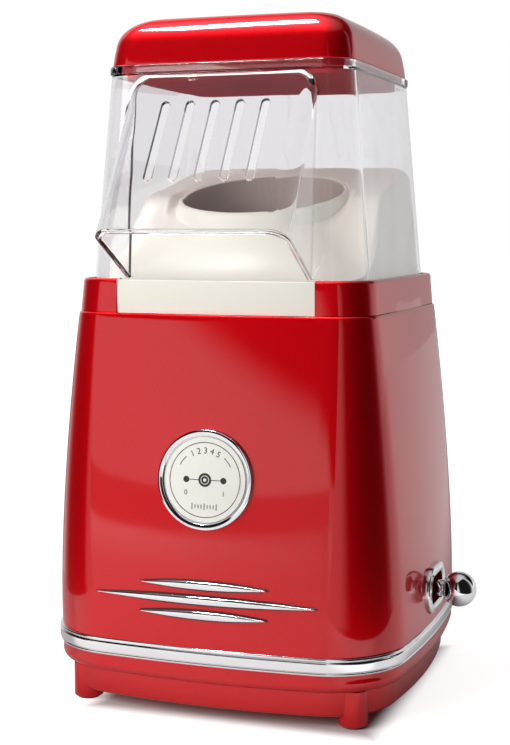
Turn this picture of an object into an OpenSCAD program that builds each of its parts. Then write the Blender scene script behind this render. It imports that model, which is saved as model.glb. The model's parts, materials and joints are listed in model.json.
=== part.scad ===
// Tabletop hot-air popcorn maker: red tower housing, ivory funnel, clear lift-off hood with a front chute,
// red cap, side lever switch, and the motor, blower, heater and popping chamber inside.
// The tower's centre line stands at (tower_x, tower_y); the whole object is centred on the origin.

/* [Tower] */
// Underside of the plinth above the table
plinth_z = 6; // [4:0.5:9]
// Half width of the plinth at its foot
plinth_half = 86; // [84:0.1:86.6]
// Half width of the skirt under the chrome band
skirt_half = 90.8; // [89:0.1:92]
// Height at which the chrome band starts
band_z = 28; // [26:0.5:30]
// Height of the chrome band
band_h = 8.5; // [7:0.5:10]
// Half width of the chrome band
band_half = 92; // [91.5:0.1:93]
// Half width of the housing just above the band
shell_foot_half = 91; // [90:0.1:91.4]
// Half width of the housing at the shoulder
shoulder_half = 77.9; // [76:0.1:79]
// Height of the shoulder where the collar starts
shoulder_z = 196.5; // [192:0.5:200]
// Half width of the collar at its rim
collar_half = 76; // [75.5:0.1:77]
// Height of the collar's rim
collar_z = 213.4; // [212:0.2:215]
// Wall thickness of the housing
wall = 2.7; // [2:0.1:3]
// Depth of the tower as a share of its width
depth_ratio = 0.99; // [0.96:0.01:1]

/* [Feet] */
// Distance of the feet from the centre line, across
foot_x = 70; // [68:0.5:71]
// Distance of the feet from the centre line, front to back
foot_y = 73; // [71:0.5:74]
// Radius of a foot
foot_r = 7.4; // [7:0.1:8]

/* [Hood] */
// Half width of the clear hood at the collar
hood_foot_half = 71.6; // [71:0.1:72.6]
// Half width of the clear hood under its rim
hood_top_half = 63.5; // [62.8:0.1:64]
// Thickness of the clear plastic
hood_wall = 2.2; // [1.8:0.1:2.6]
// Height of the shoulder that the cap rests on
hood_shoulder_z = 317.7; // [315:0.1:317.7]
// Half width of the chute
chute_half = 48; // [44:0.5:48.5]
// Height of the chute's upper edge on the hood
chute_top_z = 313; // [309:0.5:313]
// Reach of the chute's tip in front of the centre line
chute_reach = 112; // [104:0.5:116]
// Height of the chute's tip
chute_tip_z = 236.6; // [232:0.2:242]
// Number of air slots in the chute
slot_count = 5; // [3:1:5]
// Width of an air slot
slot_w = 4.4; // [3:0.1:5]
// Length of an air slot
slot_len = 46; // [30:1:48]
// Distance between air slots
slot_pitch = 12.75; // [11:0.25:14]

/* [Cap] */
// Height of the cap's lower edge
cap_z = 318; // [318:0.1:318.4]
// Height of the cap's top
cap_top_z = 342; // [338:0.5:346]
// Half width of the cap at its lower edge
cap_half = 62.9; // [62.6:0.1:63.6]

/* [Funnel] */
// Radius of the round mouth
mouth_r = 42.5; // [41:0.1:43]
// Height of the mouth's centre
mouth_z = 256; // [253:0.5:257]
// Tilt of the mouth and the deck round it, in degrees
mouth_tilt = 14.2; // [11:0.2:15]
// Drop from the mouth's front rim to the ramp
rim_drop = 7.5; // [5:0.5:8]
// Half width of the front apron
apron_half = 50.8; // [48:0.1:51]

/* [Trim] */
// Height of the dial's centre
dial_z = 118; // [110:0.5:126]
// Outer radius of the dial's bezel
dial_r = 24.2; // [22:0.1:26]
// Height of the middle badge bar
badge_z = 60; // [56:0.5:66]
// Half length of the middle badge bar
badge_half = 57; // [45:0.5:58]

/* [Lever] */
// Height of the lever
lever_z = 52.5; // [51:0.5:55]
// Radius of the ball knob
ball_r = 9; // [8:0.1:10]
// Distance of the ball's centre from the tower's centre line
ball_x = 106; // [104:0.5:108]
// Distance of the lever's pivot from the tower's centre line
pivot_x = 62; // [60:0.5:64]

/* [Works] */
// Outer radius of the popping chamber
chamber_r = 42; // [41:0.1:42.2]
// Radius of the blower housing
blower_r = 56; // [54:0.5:58]
// Radius of the impeller
impeller_r = 45; // [40:0.5:47]
// Radius of the motor
motor_r = 18; // [17:0.5:19]

/* [Hidden] */

$fn = 48;
fit = 0.05;

// The object's reach past the tower's centre line, and the place of that line
reach_right = ball_x + ball_r;
reach_left = band_half + 2.6;
reach_back = depth_ratio * band_half + 2.6;
tower_x = (reach_left - reach_right) / 2;
tower_y = (chute_reach - reach_back) / 2;

// Colours
red = [0.62, 0.03, 0.05];
chrome = [0.80, 0.80, 0.82];
ivory = [0.93, 0.90, 0.82];
clear = [0.85, 0.87, 0.90, 0.35];
steel = [0.62, 0.63, 0.65];
black = [0.08, 0.08, 0.09];
copper = [0.72, 0.42, 0.22];
mica = [0.72, 0.66, 0.52];

// ---------- Rounded-square sections ----------
side_steps = 6;
corner_steps = 10;

// One corner's arc, from angle q0, and one bowed side
function corner(cx, cy, r, q0) = [
    for (i = [0 : corner_steps - 1])
        let (q = q0 + 90 * i / corner_steps)
        [cx + r * cos(q), cy + r * sin(q)]
];
function bow(b, t) = b * (1 - t * t);
function side(i) = -1 + 2 * i / side_steps;

// Outline of half width a, half depth d, corner radius r and bow b, anticlockwise from above
function outline(a, d, r, b) = concat(
    [for (i = [0 : side_steps - 1]) [side(i) * (a - r), -d - bow(b, side(i))]],
    corner(a - r, r - d, r, -90),
    [for (i = [0 : side_steps - 1]) [a + bow(b, side(i)), side(i) * (d - r)]],
    corner(a - r, d - r, r, 0),
    [for (i = [0 : side_steps - 1]) [-side(i) * (a - r), d + bow(b, side(i))]],
    corner(r - a, d - r, r, 90),
    [for (i = [0 : side_steps - 1]) [-a - bow(b, side(i)), -side(i) * (d - r)]],
    corner(r - a, r - d, r, 180)
);

// A level is [height, half width, corner radius, bow]
function ring(level) = [
    for (p = outline(level[1], depth_ratio * level[1], level[2], level[3]))
        [p[0], p[1], level[0]]
];
function raised(level, h) = [level[0] + h, level[1], level[2], level[3]];
function inset(level, t) = [level[0], level[1] - t, max(level[2] - t, 2), level[3]];

// Triangles between two neighbouring rings of n points
function band_faces(i, k, n) = [
    for (j = [0 : n - 1])
        let (e = (j + 1) % n)
        each [
            [i * n + j, k * n + j, k * n + e],
            [i * n + j, k * n + e, i * n + e]
        ]
];

// A closed wall: the rings run up the outside and down the inside
module ring_wall(rings) {
    n = len(rings[0]);
    m = len(rings);
    polyhedron(
        points = [for (r = rings) each r],
        faces = [for (i = [0 : m - 1]) each band_faces(i, (i + 1) % m, n)],
        convexity = 8
    );
}

// A solid: flat at both ends
module solid_loft(rings) {
    n = len(rings[0]);
    m = len(rings);
    polyhedron(
        points = [for (r = rings) each r],
        faces = concat(
            [[for (j = [0 : n - 1]) j]],
            [for (i = [0 : m - 2]) each band_faces(i, i + 1, n)],
            [[for (j = [0 : n - 1]) m * n - 1 - j]]
        ),
        convexity = 6
    );
}

module place() {
    translate([tower_x, tower_y, 0]) children();
}

// Four copies, mirrored to the four corners
module corners() {
    for (sx = [-1, 1])
        for (sy = [-1, 1])
            scale([sx, sy, 1]) children();
}

// Flat shapes with true arcs
module round_square(a, r) {
    square([2 * a, 2 * (a - r)], center = true);
    square([2 * (a - r), 2 * a], center = true);
    for (sx = [-1, 1])
        for (sy = [-1, 1])
            translate([sx * (a - r), sy * (a - r)]) circle(r);
}
module pill(length, width) {
    square([length - width, width], center = true);
    for (s = [-1, 1])
        translate([s * (length - width) / 2, 0]) circle(width / 2);
}
module ring_shape(outer, inner) {
    difference() {
        circle(outer);
        circle(inner);
    }
}

// ---------- Outer shape of the tower ----------
band_top = band_z + band_h;
shell_power = 1.5;
foot_corner = 36;
shoulder_corner = 18;
foot_bow = 2.6;
plinth_bow = 4;
shoulder_bow = 1.6;
collar_bow = 1.0;

function rise(z) = (z - band_top) / (shoulder_z - band_top);
function shell_half(z) =
    shell_foot_half - (shell_foot_half - shoulder_half) * pow(max(rise(z), 0), shell_power);
function shell_corner(z) = foot_corner + (shoulder_corner - foot_corner) * rise(z);
function shell_bow(z) = foot_bow + (shoulder_bow - foot_bow) * rise(z);
function shell_level(z) = [z, shell_half(z), shell_corner(z), shell_bow(z)];
collar_flare = 1.2 / 17;
function collar_level(z, t) =
    [z, collar_half + collar_flare * (collar_z - z) - t, shoulder_corner - t, collar_bow];

// Front surface of the housing at a height, and how far it leans back there
function front_y(x, z) =
    let (flat = shell_half(z) - shell_corner(z))
    -depth_ratio * shell_half(z) - bow(shell_bow(z), min(abs(x) / flat, 1));
function lean(z) = atan((shell_half(z - 2) - shell_half(z + 2)) / 4);

tray_wall = 2.5;
floor_z = 8;
floor_t = 2.5;
post_top = 24;
boss_top = 60;
screw_r = 1.6;

// ---------- Base ----------
module base_tray() {
    skirt_bow = foot_bow + 0.1;
    round_z = 18.7;
    round_h = 6.3;
    function skirt(k) = [
        round_z + round_h * k,
        plinth_half + 0.3 + (skirt_half - plinth_half - 0.3) * sqrt(1 - (1 - k) * (1 - k)),
        31 + 5 * k,
        plinth_bow + (skirt_bow - plinth_bow) * k
    ];
    outer = [
        [plinth_z, plinth_half - 2.6, 29, plinth_bow],
        [plinth_z + 0.6, plinth_half - 1.5, 30, plinth_bow],
        [plinth_z + 2, plinth_half - 0.9, 31, plinth_bow],
        [round_z - 0.3, plinth_half, 31, plinth_bow],
        skirt(0), skirt(0.07), skirt(0.2), skirt(0.4), skirt(0.65), skirt(1),
        [band_z, skirt_half, 36, skirt_bow]
    ];
    inner = [
        inset([band_z, skirt_half, 36, skirt_bow], tray_wall),
        inset(skirt(1), tray_wall),
        inset([round_z - 1, plinth_half, 31, plinth_bow], tray_wall),
        inset([plinth_z, plinth_half - 1.4, 30, plinth_bow], tray_wall)
    ];
    floor_level = [floor_z, plinth_half - 1.6, 29, plinth_bow];
    vent_r = [24, 33, 42];
    color(red) place() difference() {
        union() {
            ring_wall([for (l = concat(outer, inner)) ring(l)]);
            solid_loft([ring(floor_level), ring(raised(floor_level, floor_t))]);
            corners() translate([foot_x, foot_y, 0.8]) cylinder(r = foot_r, h = 18);
            corners() translate([foot_x, foot_y, floor_z]) cylinder(r = 6.5, h = post_top - floor_z);
            corners() translate([post_x, post_x, floor_z]) cylinder(r = 4.5, h = motor_top - floor_z);
        }
        corners() translate([foot_x, foot_y, -1]) cylinder(r = 4.6, h = 17);
        corners() translate([foot_x, foot_y, 0]) cylinder(r = screw_r + 0.4, h = post_top + 1);
        corners() translate([post_x, post_x, motor_top - 12]) cylinder(r = screw_r, h = 13);
        for (r = vent_r)
            for (q = [0 : 30 : 330])
                rotate([0, 0, q + 15]) translate([r, 0, floor_z + floor_t / 2])
                    cube([5, r * 0.3, 2 * floor_t], center = true);
    }
}

module foot_pads() {
    color(black) place() corners() translate([foot_x, foot_y, 0]) {
        cylinder(r = 5.6, h = 0.8);
        cylinder(r = 4.5, h = 4);
    }
}

module base_screws() {
    color(steel) place() corners() translate([foot_x, foot_y, 0]) {
        translate([0, 0, 12.6]) cylinder(r = 3.4, h = 3.4);
        translate([0, 0, 12.6]) cylinder(r = screw_r, h = 32);
    }
}

module chrome_band() {
    bead = 0.55;
    function at(z, t) = [z, band_half - t, foot_corner, foot_bow];
    rings = [
        at(band_z, 1.0), at(band_z + 0.5, 0.35), at(band_z + 1.1, 0.45),
        at(band_z + 1.5, 0.5), at(band_z + 2.6, 0.1), at(band_z + 4.2, 0),
        at(band_z + 5.8, 0.15), at(band_top - 1.7, bead), at(band_top - 1.3, bead),
        at(band_top - 0.8, 0.25), at(band_top - 0.25, 0.4), at(band_top, 1.1),
        inset(at(band_top, 0), 4.6), inset(at(band_z, 0), 4.6)
    ];
    color(chrome) place() ring_wall([for (l = rings) ring(l)]);
}

// ---------- Housing ----------
ledge_z = 205;
ledge_t = 2.5;
ledge_half = 66;
ledge_corner = 34;
notch_gap = 0.25;
neck_r = 6.6;
gland_z = 50;
gland_y = depth_ratio * shell_half(gland_z + 9) + foot_bow - 0.4;

module body_shell() {
    heights = [band_top, 46, 62, 80, 100, 120, 140, 160, 176, 188, shoulder_z - 1.6];
    collar_top = collar_z;
    rings = concat(
        [for (z = heights) ring(shell_level(z))],
        [
            ring([shoulder_z - 0.5, shoulder_half - 0.15, shoulder_corner, shoulder_bow]),
            ring(collar_level(shoulder_z + 0.8, 0)),
            ring(collar_level(collar_top - 2.6, 0)),
            ring(collar_level(collar_top - 1.2, 0.4)),
            ring(collar_level(collar_top - 0.3, 1.2)),
            ring(collar_level(collar_top, 2)),
            ring(collar_level(collar_top, 2.7)),
            ring([ledge_z, collar_half - 2.7, shoulder_corner - 2.7, collar_bow]),
            ring([ledge_z, ledge_half, ledge_corner, 0]),
            ring([ledge_z - ledge_t, ledge_half, ledge_corner, 0]),
            ring([ledge_z - ledge_t, shoulder_half - wall - 1.4, shoulder_corner - wall, collar_bow])
        ],
        [for (i = [len(heights) - 2 : -1 : 0]) ring(inset(shell_level(heights[i]), wall))]
    );
    color(red) place() difference() {
        union() {
            ring_wall(rings);
            corners() translate([foot_x, foot_y, post_top]) cylinder(r = 4.8, h = boss_top - post_top);
            corners() translate([foot_x, foot_y, band_top + 6]) rotate([0, 0, 45])
                translate([0, -1.25, 0]) cube([11.5, 2.5, boss_top - band_top - 8]);
            for (s = [-1, 1])
                translate([flange_x, s * 23, lever_z]) rotate([0, 90, 0])
                    cylinder(r = 4.2, h = side_x - 1.2 - flange_x);
        }
        corners() translate([foot_x, foot_y, post_top - 1]) cylinder(r = screw_r, h = 24);
        translate([-apron_half - notch_gap, -100, shoulder_z - 0.2])
            cube([2 * (apron_half + notch_gap), 34.5, 30]);
        lever_opening();
        dial_at(dial_z) translate([0, 0, -1.1]) cylinder(r = dial_r + 0.15, h = 6);
        dial_at(dial_z) translate([0, 0, -8]) cylinder(r = 3.2, h = 12);
        badge_pins(1.3, 5.7);
        translate([0, gland_y, gland_z]) rotate([-90, 0, 0]) {
            translate([0, 0, -12]) linear_extrude(20) round_square(neck_r, 1.5);
            linear_extrude(9) round_square(9.3, 3);
        }
        for (s = [-1, 1])
            translate([flange_x - 1, s * 23, lever_z]) rotate([0, 90, 0]) cylinder(r = screw_r, h = 7);
        corners() translate([carrier_screw, carrier_screw, ledge_z - 5]) cylinder(r = screw_r, h = 8);
    }
}

// ---------- Dial ----------
// Stands a piece on the housing's front at a height, its axis square to the surface
module dial_at(z) {
    translate([0, front_y(0, z), z]) rotate([90 - lean(z), 0, 0]) children();
}
dial_back = -1.0;
dial_front = 2.1;
dial_floor = 0.4;
dial_well = dial_r - 3.5;
dial_disc = 0.6;

module dial_bezel() {
    color(chrome) place() dial_at(dial_z) {
        rotate_extrude($fn = 96) polygon([
            [dial_well, dial_back], [dial_r - 0.3, dial_back], [dial_r, dial_back + 0.4],
            [dial_r, dial_front - 1.1], [dial_r - 0.35, dial_front - 0.35], [dial_r - 1.2, dial_front],
            [dial_r - 2.1, dial_front - 0.1], [dial_r - 3, dial_front - 0.9], [dial_well, dial_floor]
        ]);
        translate([0, 0, -7]) cylinder(r = 3.1, h = 7 + dial_back);
        translate([0, 0, dial_back]) cylinder(r = dial_well + 0.2, h = dial_disc);
    }
}

module dial_face() {
    color("white") place() dial_at(dial_z) translate([0, 0, dial_back + dial_disc])
        cylinder(r = dial_well - fit, h = dial_floor + 0.4 - dial_back - dial_disc);
}

// ---------- Badge: three pointed bars on a dark backing ----------
badge_lines = [[7.2, 0.58], [0, 1], [-7.2, 0.58]];
bar_steps = 12;

// Heights of a pointed bar along its length
function taper(t) = 0.12 + 0.88 * (1 - pow(abs(t), 2.2));

// Strip on the housing's front at height z, of half length l and half height h, between two depths
module front_strip(z, l, h, back, front) {
    stations = [for (i = [0 : bar_steps]) -1 + 2 * i / bar_steps];
    function at(t, dz, out) = [t * l, front_y(t * l, z + dz) - out, z + dz];
    rings = [
        for (t = stations)
            let (k = h * taper(t))
            [at(t, -k, back), at(t, k, back), at(t, k * 0.75, front), at(t, -k * 0.75, front)]
    ];
    solid_loft(rings);
}
module badge_pins(r, length) {
    for (line = badge_lines)
        for (s = [-0.5, 0.5])
            let (x = s * badge_half * line[1], z = badge_z + line[0])
            translate([x, front_y(x, z) + 5, z]) rotate([90, 0, 0]) cylinder(r = r, h = length);
}
module badge_backing() {
    color(black) place() difference() {
        for (line = badge_lines)
            front_strip(badge_z + line[0], badge_half * line[1], 2.6, 0.02, 0.7);
        badge_pins(1.25, 8.7);
    }
}
module badge_bars() {
    color(chrome) place() {
        for (line = badge_lines)
            front_strip(badge_z + line[0], badge_half * line[1] - 1, 1.9, 0.72, 1.9);
        badge_pins(1.2, 5.8);
    }
}

// ---------- Lever switch ----------
side_x = shell_half(lever_z) + foot_bow;
flange_x = side_x - 12;
slot_y = 30;
slot_z = 15;
plate_y = 38;
plate_z = 24;
stem_r = 4.2;
lever_swing = 10;

module side_at(x) {
    translate([x, 0, lever_z]) rotate([0, 90, 0]) rotate([0, 0, 90]) children();
}
module lever_opening() {
    side_at(side_x - 12) linear_extrude(20) pill(slot_y, slot_z);
    side_at(side_x - 0.8) linear_extrude(8) pill(plate_y + 0.3, plate_z + 0.3);
}
module lever_escutcheon() {
    color(chrome) place() {
        difference() {
            union() {
                side_at(side_x - 0.75) linear_extrude(2.2) pill(plate_y, plate_z);
                side_at(side_x + 1.4) linear_extrude(0.6) pill(plate_y - 1.4, plate_z - 1.4);
                side_at(side_x + 1.9) linear_extrude(0.4) pill(plate_y - 3.4, plate_z - 3.4);
            }
            side_at(side_x - 2) linear_extrude(6) pill(slot_y - 1.6, slot_z - 1.6);
            side_at(side_x + 1.8) linear_extrude(3) pill(slot_y - 0.4, slot_z - 0.4);
        }
    }
}

module lever_stem() {
    color(chrome) place() translate([pivot_x + 8, 0, lever_z]) rotate([0, 90, 0])
        cylinder(r = stem_r, h = ball_x - ball_r - pivot_x - 6.4);
}
module lever_collar() {
    x0 = ball_x - ball_r + 1.6;
    color(chrome) place() translate([x0, 0, lever_z]) rotate([0, 90, 0])
        rotate_extrude() polygon([
            [0, 0], [stem_r, 0], [6.0, 0.5], [6.2, 1.0], [5.6, 1.6], [0, 1.6]
        ]);
}
module ball_knob() {
    flat = ball_r - 3.2;
    color(chrome) place() translate([ball_x, 0, lever_z]) rotate([0, 90, 0])
        rotate_extrude($fn = 64) intersection() {
            circle(ball_r, $fn = 64);
            translate([0, -flat]) square([ball_r + 1, flat + ball_r + 1]);
        }
}
module lever_arm() {
    color(black) place() translate([pivot_x, 0, lever_z]) difference() {
        union() {
            cylinder(r = 6, h = 12, center = true);
            translate([0, -4.5, -5]) cube([8, 9, 10]);
            translate([-12, -1.2, -2.5]) cube([10, 2.4, 5]);
            translate([-12, 0, -2.5]) cylinder(r = 2, h = 5);
        }
        cylinder(r = 2 + fit, h = 14, center = true);
    }
}
module lever_pivot_pin() {
    color(steel) place() translate([pivot_x, 0, lever_z]) {
        cylinder(r = 2, h = 17, center = true);
    }
}
bracket_gap = 6.3;
module switch_bracket() {
    color(steel) place() difference() {
        union() {
            for (s = [-1, 1])
                translate([pivot_x - 8, -13, lever_z + s * (bracket_gap + 0.9) - 0.9])
                    cube([flange_x - pivot_x + 8, 26, 1.8]);
            for (s = [-1, 1])
                translate([flange_x - 1.6, s * 23 - 5, lever_z - 10]) cube([1.6, 10, 20]);
            for (s = [-1, 1])
                for (u = [-1, 1])
                    translate([flange_x - 1.6, s > 0 ? 12 : -20, lever_z + u * (bracket_gap + 0.9) - 0.9])
                        cube([1.6, 8, 1.8]);
            translate([pivot_x - 38, -13, lever_z - bracket_gap - 3.3]) cube([34, 26, 1.5]);
        }
        translate([pivot_x, 0, lever_z]) cylinder(r = 2, h = 30, center = true);
        for (s = [-1, 1])
            translate([flange_x - 5, s * 23, lever_z]) rotate([0, 90, 0]) cylinder(r = screw_r, h = 10);
    }
}
module switch_screws() {
    color(steel) place() for (s = [-1, 1])
        translate([flange_x, s * 23, lever_z]) rotate([0, 90, 0]) {
            translate([0, 0, -3.6]) cylinder(r = 3, h = 2);
            translate([0, 0, -1.6]) cylinder(r = screw_r, h = 7.1);
        }
}
slider_x = pivot_x - 12;
module switch_body() {
    color(black) place() translate([slider_x, 0, lever_z]) difference() {
        translate([-25, -12.5, -8]) cube([20, 25, 16]);
        translate([-12, -9.4, -3.3]) cube([4.8, 18.8, 6.6]);
        translate([-8, -6, -3.3]) cube([5, 12, 6.6]);
    }
}
module switch_slider() {
    color("white") place() translate([slider_x, 0, lever_z]) difference() {
        union() {
            translate([-11.4, -7, -2.9]) cube([3.8, 14, 5.8]);
            translate([-8, -3.6, -2.9]) cube([10.8, 7.2, 5.8]);
        }
        translate([-2.4, -2.35, -4]) cube([8, 4.7, 8]);
    }
}

// ---------- Rear inlet ----------
cord_bore_r = 3.5;

// Its square neck keeps it from turning in the housing
module cord_gland() {
    color(black) place() translate([0, gland_y, gland_z]) rotate([-90, 0, 0]) difference() {
        union() {
            translate([0, 0, fit]) cylinder(r = 9, h = 1.2);
            translate([0, 0, 1.2]) cylinder(r1 = 9, r2 = 7.8, h = 0.8);
            translate([0, 0, -8.5]) linear_extrude(9) round_square(neck_r - 0.1, 1.4);
            translate([0, 0, -8.5]) cylinder(r = 8.5, h = 4.6);
        }
        translate([0, 0, -20]) cylinder(r = cord_bore_r, h = 30);
    }
}
module terminal_block() {
    color(ivory) place() translate([0, 66, floor_z + floor_t]) difference() {
        translate([-15, -6, 0]) cube([30, 12, 11]);
        for (i = [-1 : 1])
            translate([i * 9, 0, 5]) rotate([90, 0, 0]) cylinder(r = 1.8, h = 14, center = true);
        for (i = [-1 : 1])
            translate([i * 9, 0, 6]) cylinder(r = 1.6, h = 6);
    }
}

// ---------- Carrier and chamber ----------
carrier_z = ledge_z;
carrier_t = 3;
carrier_half = 72.6;
carrier_screw = 60;
seat_z = 229;
chamber_floor_z = 150;

module carrier_plate() {
    color(black) place() difference() {
        union() {
            translate([0, 0, carrier_z]) linear_extrude(carrier_t) intersection() {
                round_square(carrier_half, 15);
                translate([-100, -depth_ratio * carrier_half + 5.6]) square([200, 200]);
            }
            translate([0, 0, carrier_z]) cylinder(r = 47, h = seat_z - carrier_z);
        }
        translate([0, 0, carrier_z - 1]) cylinder(r = chamber_r + 0.3, h = 40);
        corners() translate([carrier_screw, carrier_screw, carrier_z - 1])
            cylinder(r = screw_r + 0.3, h = 8);
    }
}
module carrier_screws() {
    color(steel) place() corners() translate([carrier_screw, carrier_screw, carrier_z]) {
        translate([0, 0, carrier_t]) cylinder(r = 3, h = 1.8);
        translate([0, 0, -4.5]) cylinder(r = screw_r, h = 4.5 + carrier_t);
    }
}
module popping_chamber() {
    t = 1;
    slits = 16;
    top = seat_z - chamber_floor_z;
    color(steel) place() translate([0, 0, chamber_floor_z]) difference() {
        rotate_extrude($fn = 96) polygon([
            [0, 6], [22, 2], [34, 0], [39, 1], [chamber_r, 5],
            [chamber_r, top], [46, top], [46, top + t], [chamber_r - t, top + t],
            [chamber_r - t, 5.5], [38.5, 2], [34, t], [22, 3], [0, 7]
        ]);
        for (i = [0 : slits - 1])
            rotate([0, 0, i * 360 / slits]) translate([chamber_r, 0, 15]) rotate([25, 0, 0])
                cube([6, 1.6, 14], center = true);
    }
}
sleeve_r = 47;
module heat_sleeve() {
    color(steel) place() difference() {
        translate([0, 0, cover_top]) union() {
            cylinder(r = sleeve_r, h = carrier_z - cover_top, $fn = 96);
            cylinder(r = sleeve_r + 5, h = 1);
        }
        translate([0, 0, cover_top - 1]) cylinder(r = sleeve_r - 0.8, h = 120, $fn = 96);
    }
}

// ---------- Heater ----------
blower_z = 84;
blower_top = 118;
cover_top = blower_top + 2.5;
board_h = 24;
coil_r = 0.8;
coil_turns = 5;
coil_mean = 33;
module mica_frame() {
    half = coil_mean - coil_r - 0.05;
    slot = 1.7;
    color(mica) place() for (q = [0, 90]) rotate([0, 0, q]) difference() {
        translate([-half, -0.5, cover_top]) cube([2 * half, 1, board_h]);
        translate([-slot / 2, -1, cover_top + (q == 0 ? board_h / 2 : -1)])
            cube([slot, 2, board_h / 2 + 1]);
    }
}
module heater_coil() {
    color(copper) place() for (i = [0 : coil_turns - 1])
        translate([0, 0, cover_top + 3 + i * 4]) rotate_extrude($fn = 96)
            translate([coil_mean, 0]) circle(coil_r, $fn = 24);
}
module thermostat() {
    color(steel) place() translate([0, sleeve_r, 138]) rotate([-90, 0, 0]) {
        cylinder(r = 8, h = 5);
        cylinder(r = 6, h = 8);
        for (s = [-1, 1])
            translate([s * 4 - 0.4, -2.5, 8]) cube([0.8, 5, 6]);
    }
}
module thermal_fuse() {
    color(steel) place() translate([sleeve_r + 2, 0, 142]) {
        cylinder(r = 2, h = 12, center = true);
        cylinder(r = 0.5, h = 22, center = true);
    }
}

// ---------- Blower ----------
post_x = 45;
inlet_r = 30;
outlet_r = 38;
impeller_z = 92;
module blower_housing() {
    color(ivory) place() difference() {
        union() {
            translate([0, 0, blower_z]) cylinder(r = blower_r, h = blower_top - blower_z, $fn = 96);
            corners() translate([post_x, post_x, blower_z]) cylinder(r = 5.5, h = 3);
            corners() rotate([0, 0, 45]) translate([50, -5.5, blower_z])
                cube([post_x * sqrt(2) - 50, 11, 3]);
        }
        translate([0, 0, blower_z + 2.5]) cylinder(r = blower_r - 2.5, h = 60, $fn = 96);
        translate([0, 0, blower_z - 1]) cylinder(r = inlet_r, h = 10);
        corners() translate([post_x, post_x, blower_z - 1]) cylinder(r = screw_r + 0.3, h = 8);
    }
}
module blower_screws() {
    color(steel) place() corners() translate([post_x, post_x, blower_z]) {
        translate([0, 0, 3]) cylinder(r = 3, h = 1.8);
        translate([0, 0, -10]) cylinder(r = screw_r, h = 13);
    }
}
module blower_cover() {
    color(ivory) place() difference() {
        union() {
            translate([0, 0, blower_top]) cylinder(r = blower_r, h = cover_top - blower_top, $fn = 96);
            translate([0, 0, blower_top - 2]) cylinder(r = blower_r - 2.6, h = 3, $fn = 96);
        }
        translate([0, 0, blower_top - 3]) cylinder(r = blower_r - 4.6, h = 3);
        for (q = [0 : 90 : 270])
            rotate([0, 0, q + 45]) linear_extrude(300) intersection() {
                circle(outlet_r);
                rotate([0, 0, -45]) translate([1.5, 1.5]) square(40);
            }
    }
}
module impeller() {
    blades = 10;
    bore = shaft_r + 0.02;
    color(black) place() difference() {
        union() {
            translate([0, 0, impeller_z]) cylinder(r = impeller_r, h = 1.5, $fn = 96);
            translate([0, 0, impeller_z - 3]) cylinder(r = 7, h = 16);
            for (i = [0 : blades - 1])
                rotate([0, 0, i * 360 / blades]) translate([16, 0, impeller_z + 1]) rotate([0, 0, -20])
                    cube([impeller_r - 19, 1.4, 15]);
        }
        translate([0, 0, impeller_z - 5]) cylinder(r = bore, h = 30);
    }
}

// ---------- Motor ----------
shaft_r = 1.6;
motor_top = 82;
bracket_t = blower_z - motor_top;
motor_h = 38;
motor_z = motor_top - motor_h;
module motor_bracket() {
    color(steel) place() translate([0, 0, motor_top]) difference() {
        linear_extrude(bracket_t) {
            circle(20);
            for (q = [45, 135])
                rotate([0, 0, q]) pill(2 * post_x * sqrt(2) + 10, 10);
        }
        translate([0, 0, -1]) cylinder(r = 4.4, h = 6);
        for (s = [-1, 1])
            translate([s * 11, 0, -1]) cylinder(r = 1.5, h = 6);
        corners() translate([post_x, post_x, -1]) cylinder(r = screw_r + 0.3, h = 6);
    }
}
module motor_screws() {
    color(steel) place() for (s = [-1, 1]) translate([s * 11, 0, motor_top]) {
        translate([0, 0, bracket_t]) cylinder(r = 2.6, h = 1.6);
        translate([0, 0, -3]) cylinder(r = 1.4, h = 3 + bracket_t);
    }
}
module motor_can() {
    color(steel) place() difference() {
        union() {
            translate([0, 0, motor_z]) cylinder(r = motor_r, h = motor_h);
            translate([0, 0, motor_top]) cylinder(r = 4.3, h = 2);
        }
        translate([0, 0, motor_z - 1]) cylinder(r = motor_r - 1.2, h = motor_h - 0.5);
        translate([0, 0, motor_top - 5]) cylinder(r = 3, h = 10);
        for (s = [-1, 1])
            translate([s * 11, 0, motor_top - 4]) cylinder(r = 1.4, h = 6);
    }
}
module motor_end_cap() {
    color(black) place() difference() {
        translate([0, 0, motor_z - 4]) union() {
            cylinder(r = motor_r, h = 4);
            cylinder(r = motor_r - 1.3, h = 7);
        }
        translate([0, 0, motor_z - 2]) cylinder(r = motor_r - 3, h = 10);
        translate([0, 0, motor_z - 5]) cylinder(r = 3, h = 10);
    }
}
module motor_bushings() {
    color(copper) place() for (z = [motor_top - 3, motor_z - 4]) translate([0, 0, z]) difference() {
        cylinder(r = 3, h = z > 60 ? 5 : 2);
        translate([0, 0, -1]) cylinder(r = shaft_r + fit, h = 8);
    }
}
module field_magnets() {
    color(black) place() translate([0, 0, motor_z + 8]) intersection() {
        difference() {
            cylinder(r = motor_r - 1.25, h = 24);
            translate([0, 0, -1]) cylinder(r = 13.2, h = 26);
        }
        for (s = [0, 180])
            rotate([0, 0, s]) translate([4, -11, 0]) cube([20, 22, 24]);
    }
}
module armature() {
    poles = 5;
    color(copper) place() translate([0, 0, motor_z + 9]) difference() {
        cylinder(r = 12.4, h = 21);
        for (i = [0 : poles - 1])
            rotate([0, 0, i * 360 / poles]) translate([9, 0, -1]) cylinder(r = 2.6, h = 24);
        for (i = [0 : poles - 1])
            rotate([0, 0, i * 360 / poles]) translate([9, -0.9, -1]) cube([8, 1.8, 24]);
        translate([0, 0, -1]) cylinder(r = shaft_r + 0.02, h = 24);
    }
}
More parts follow.
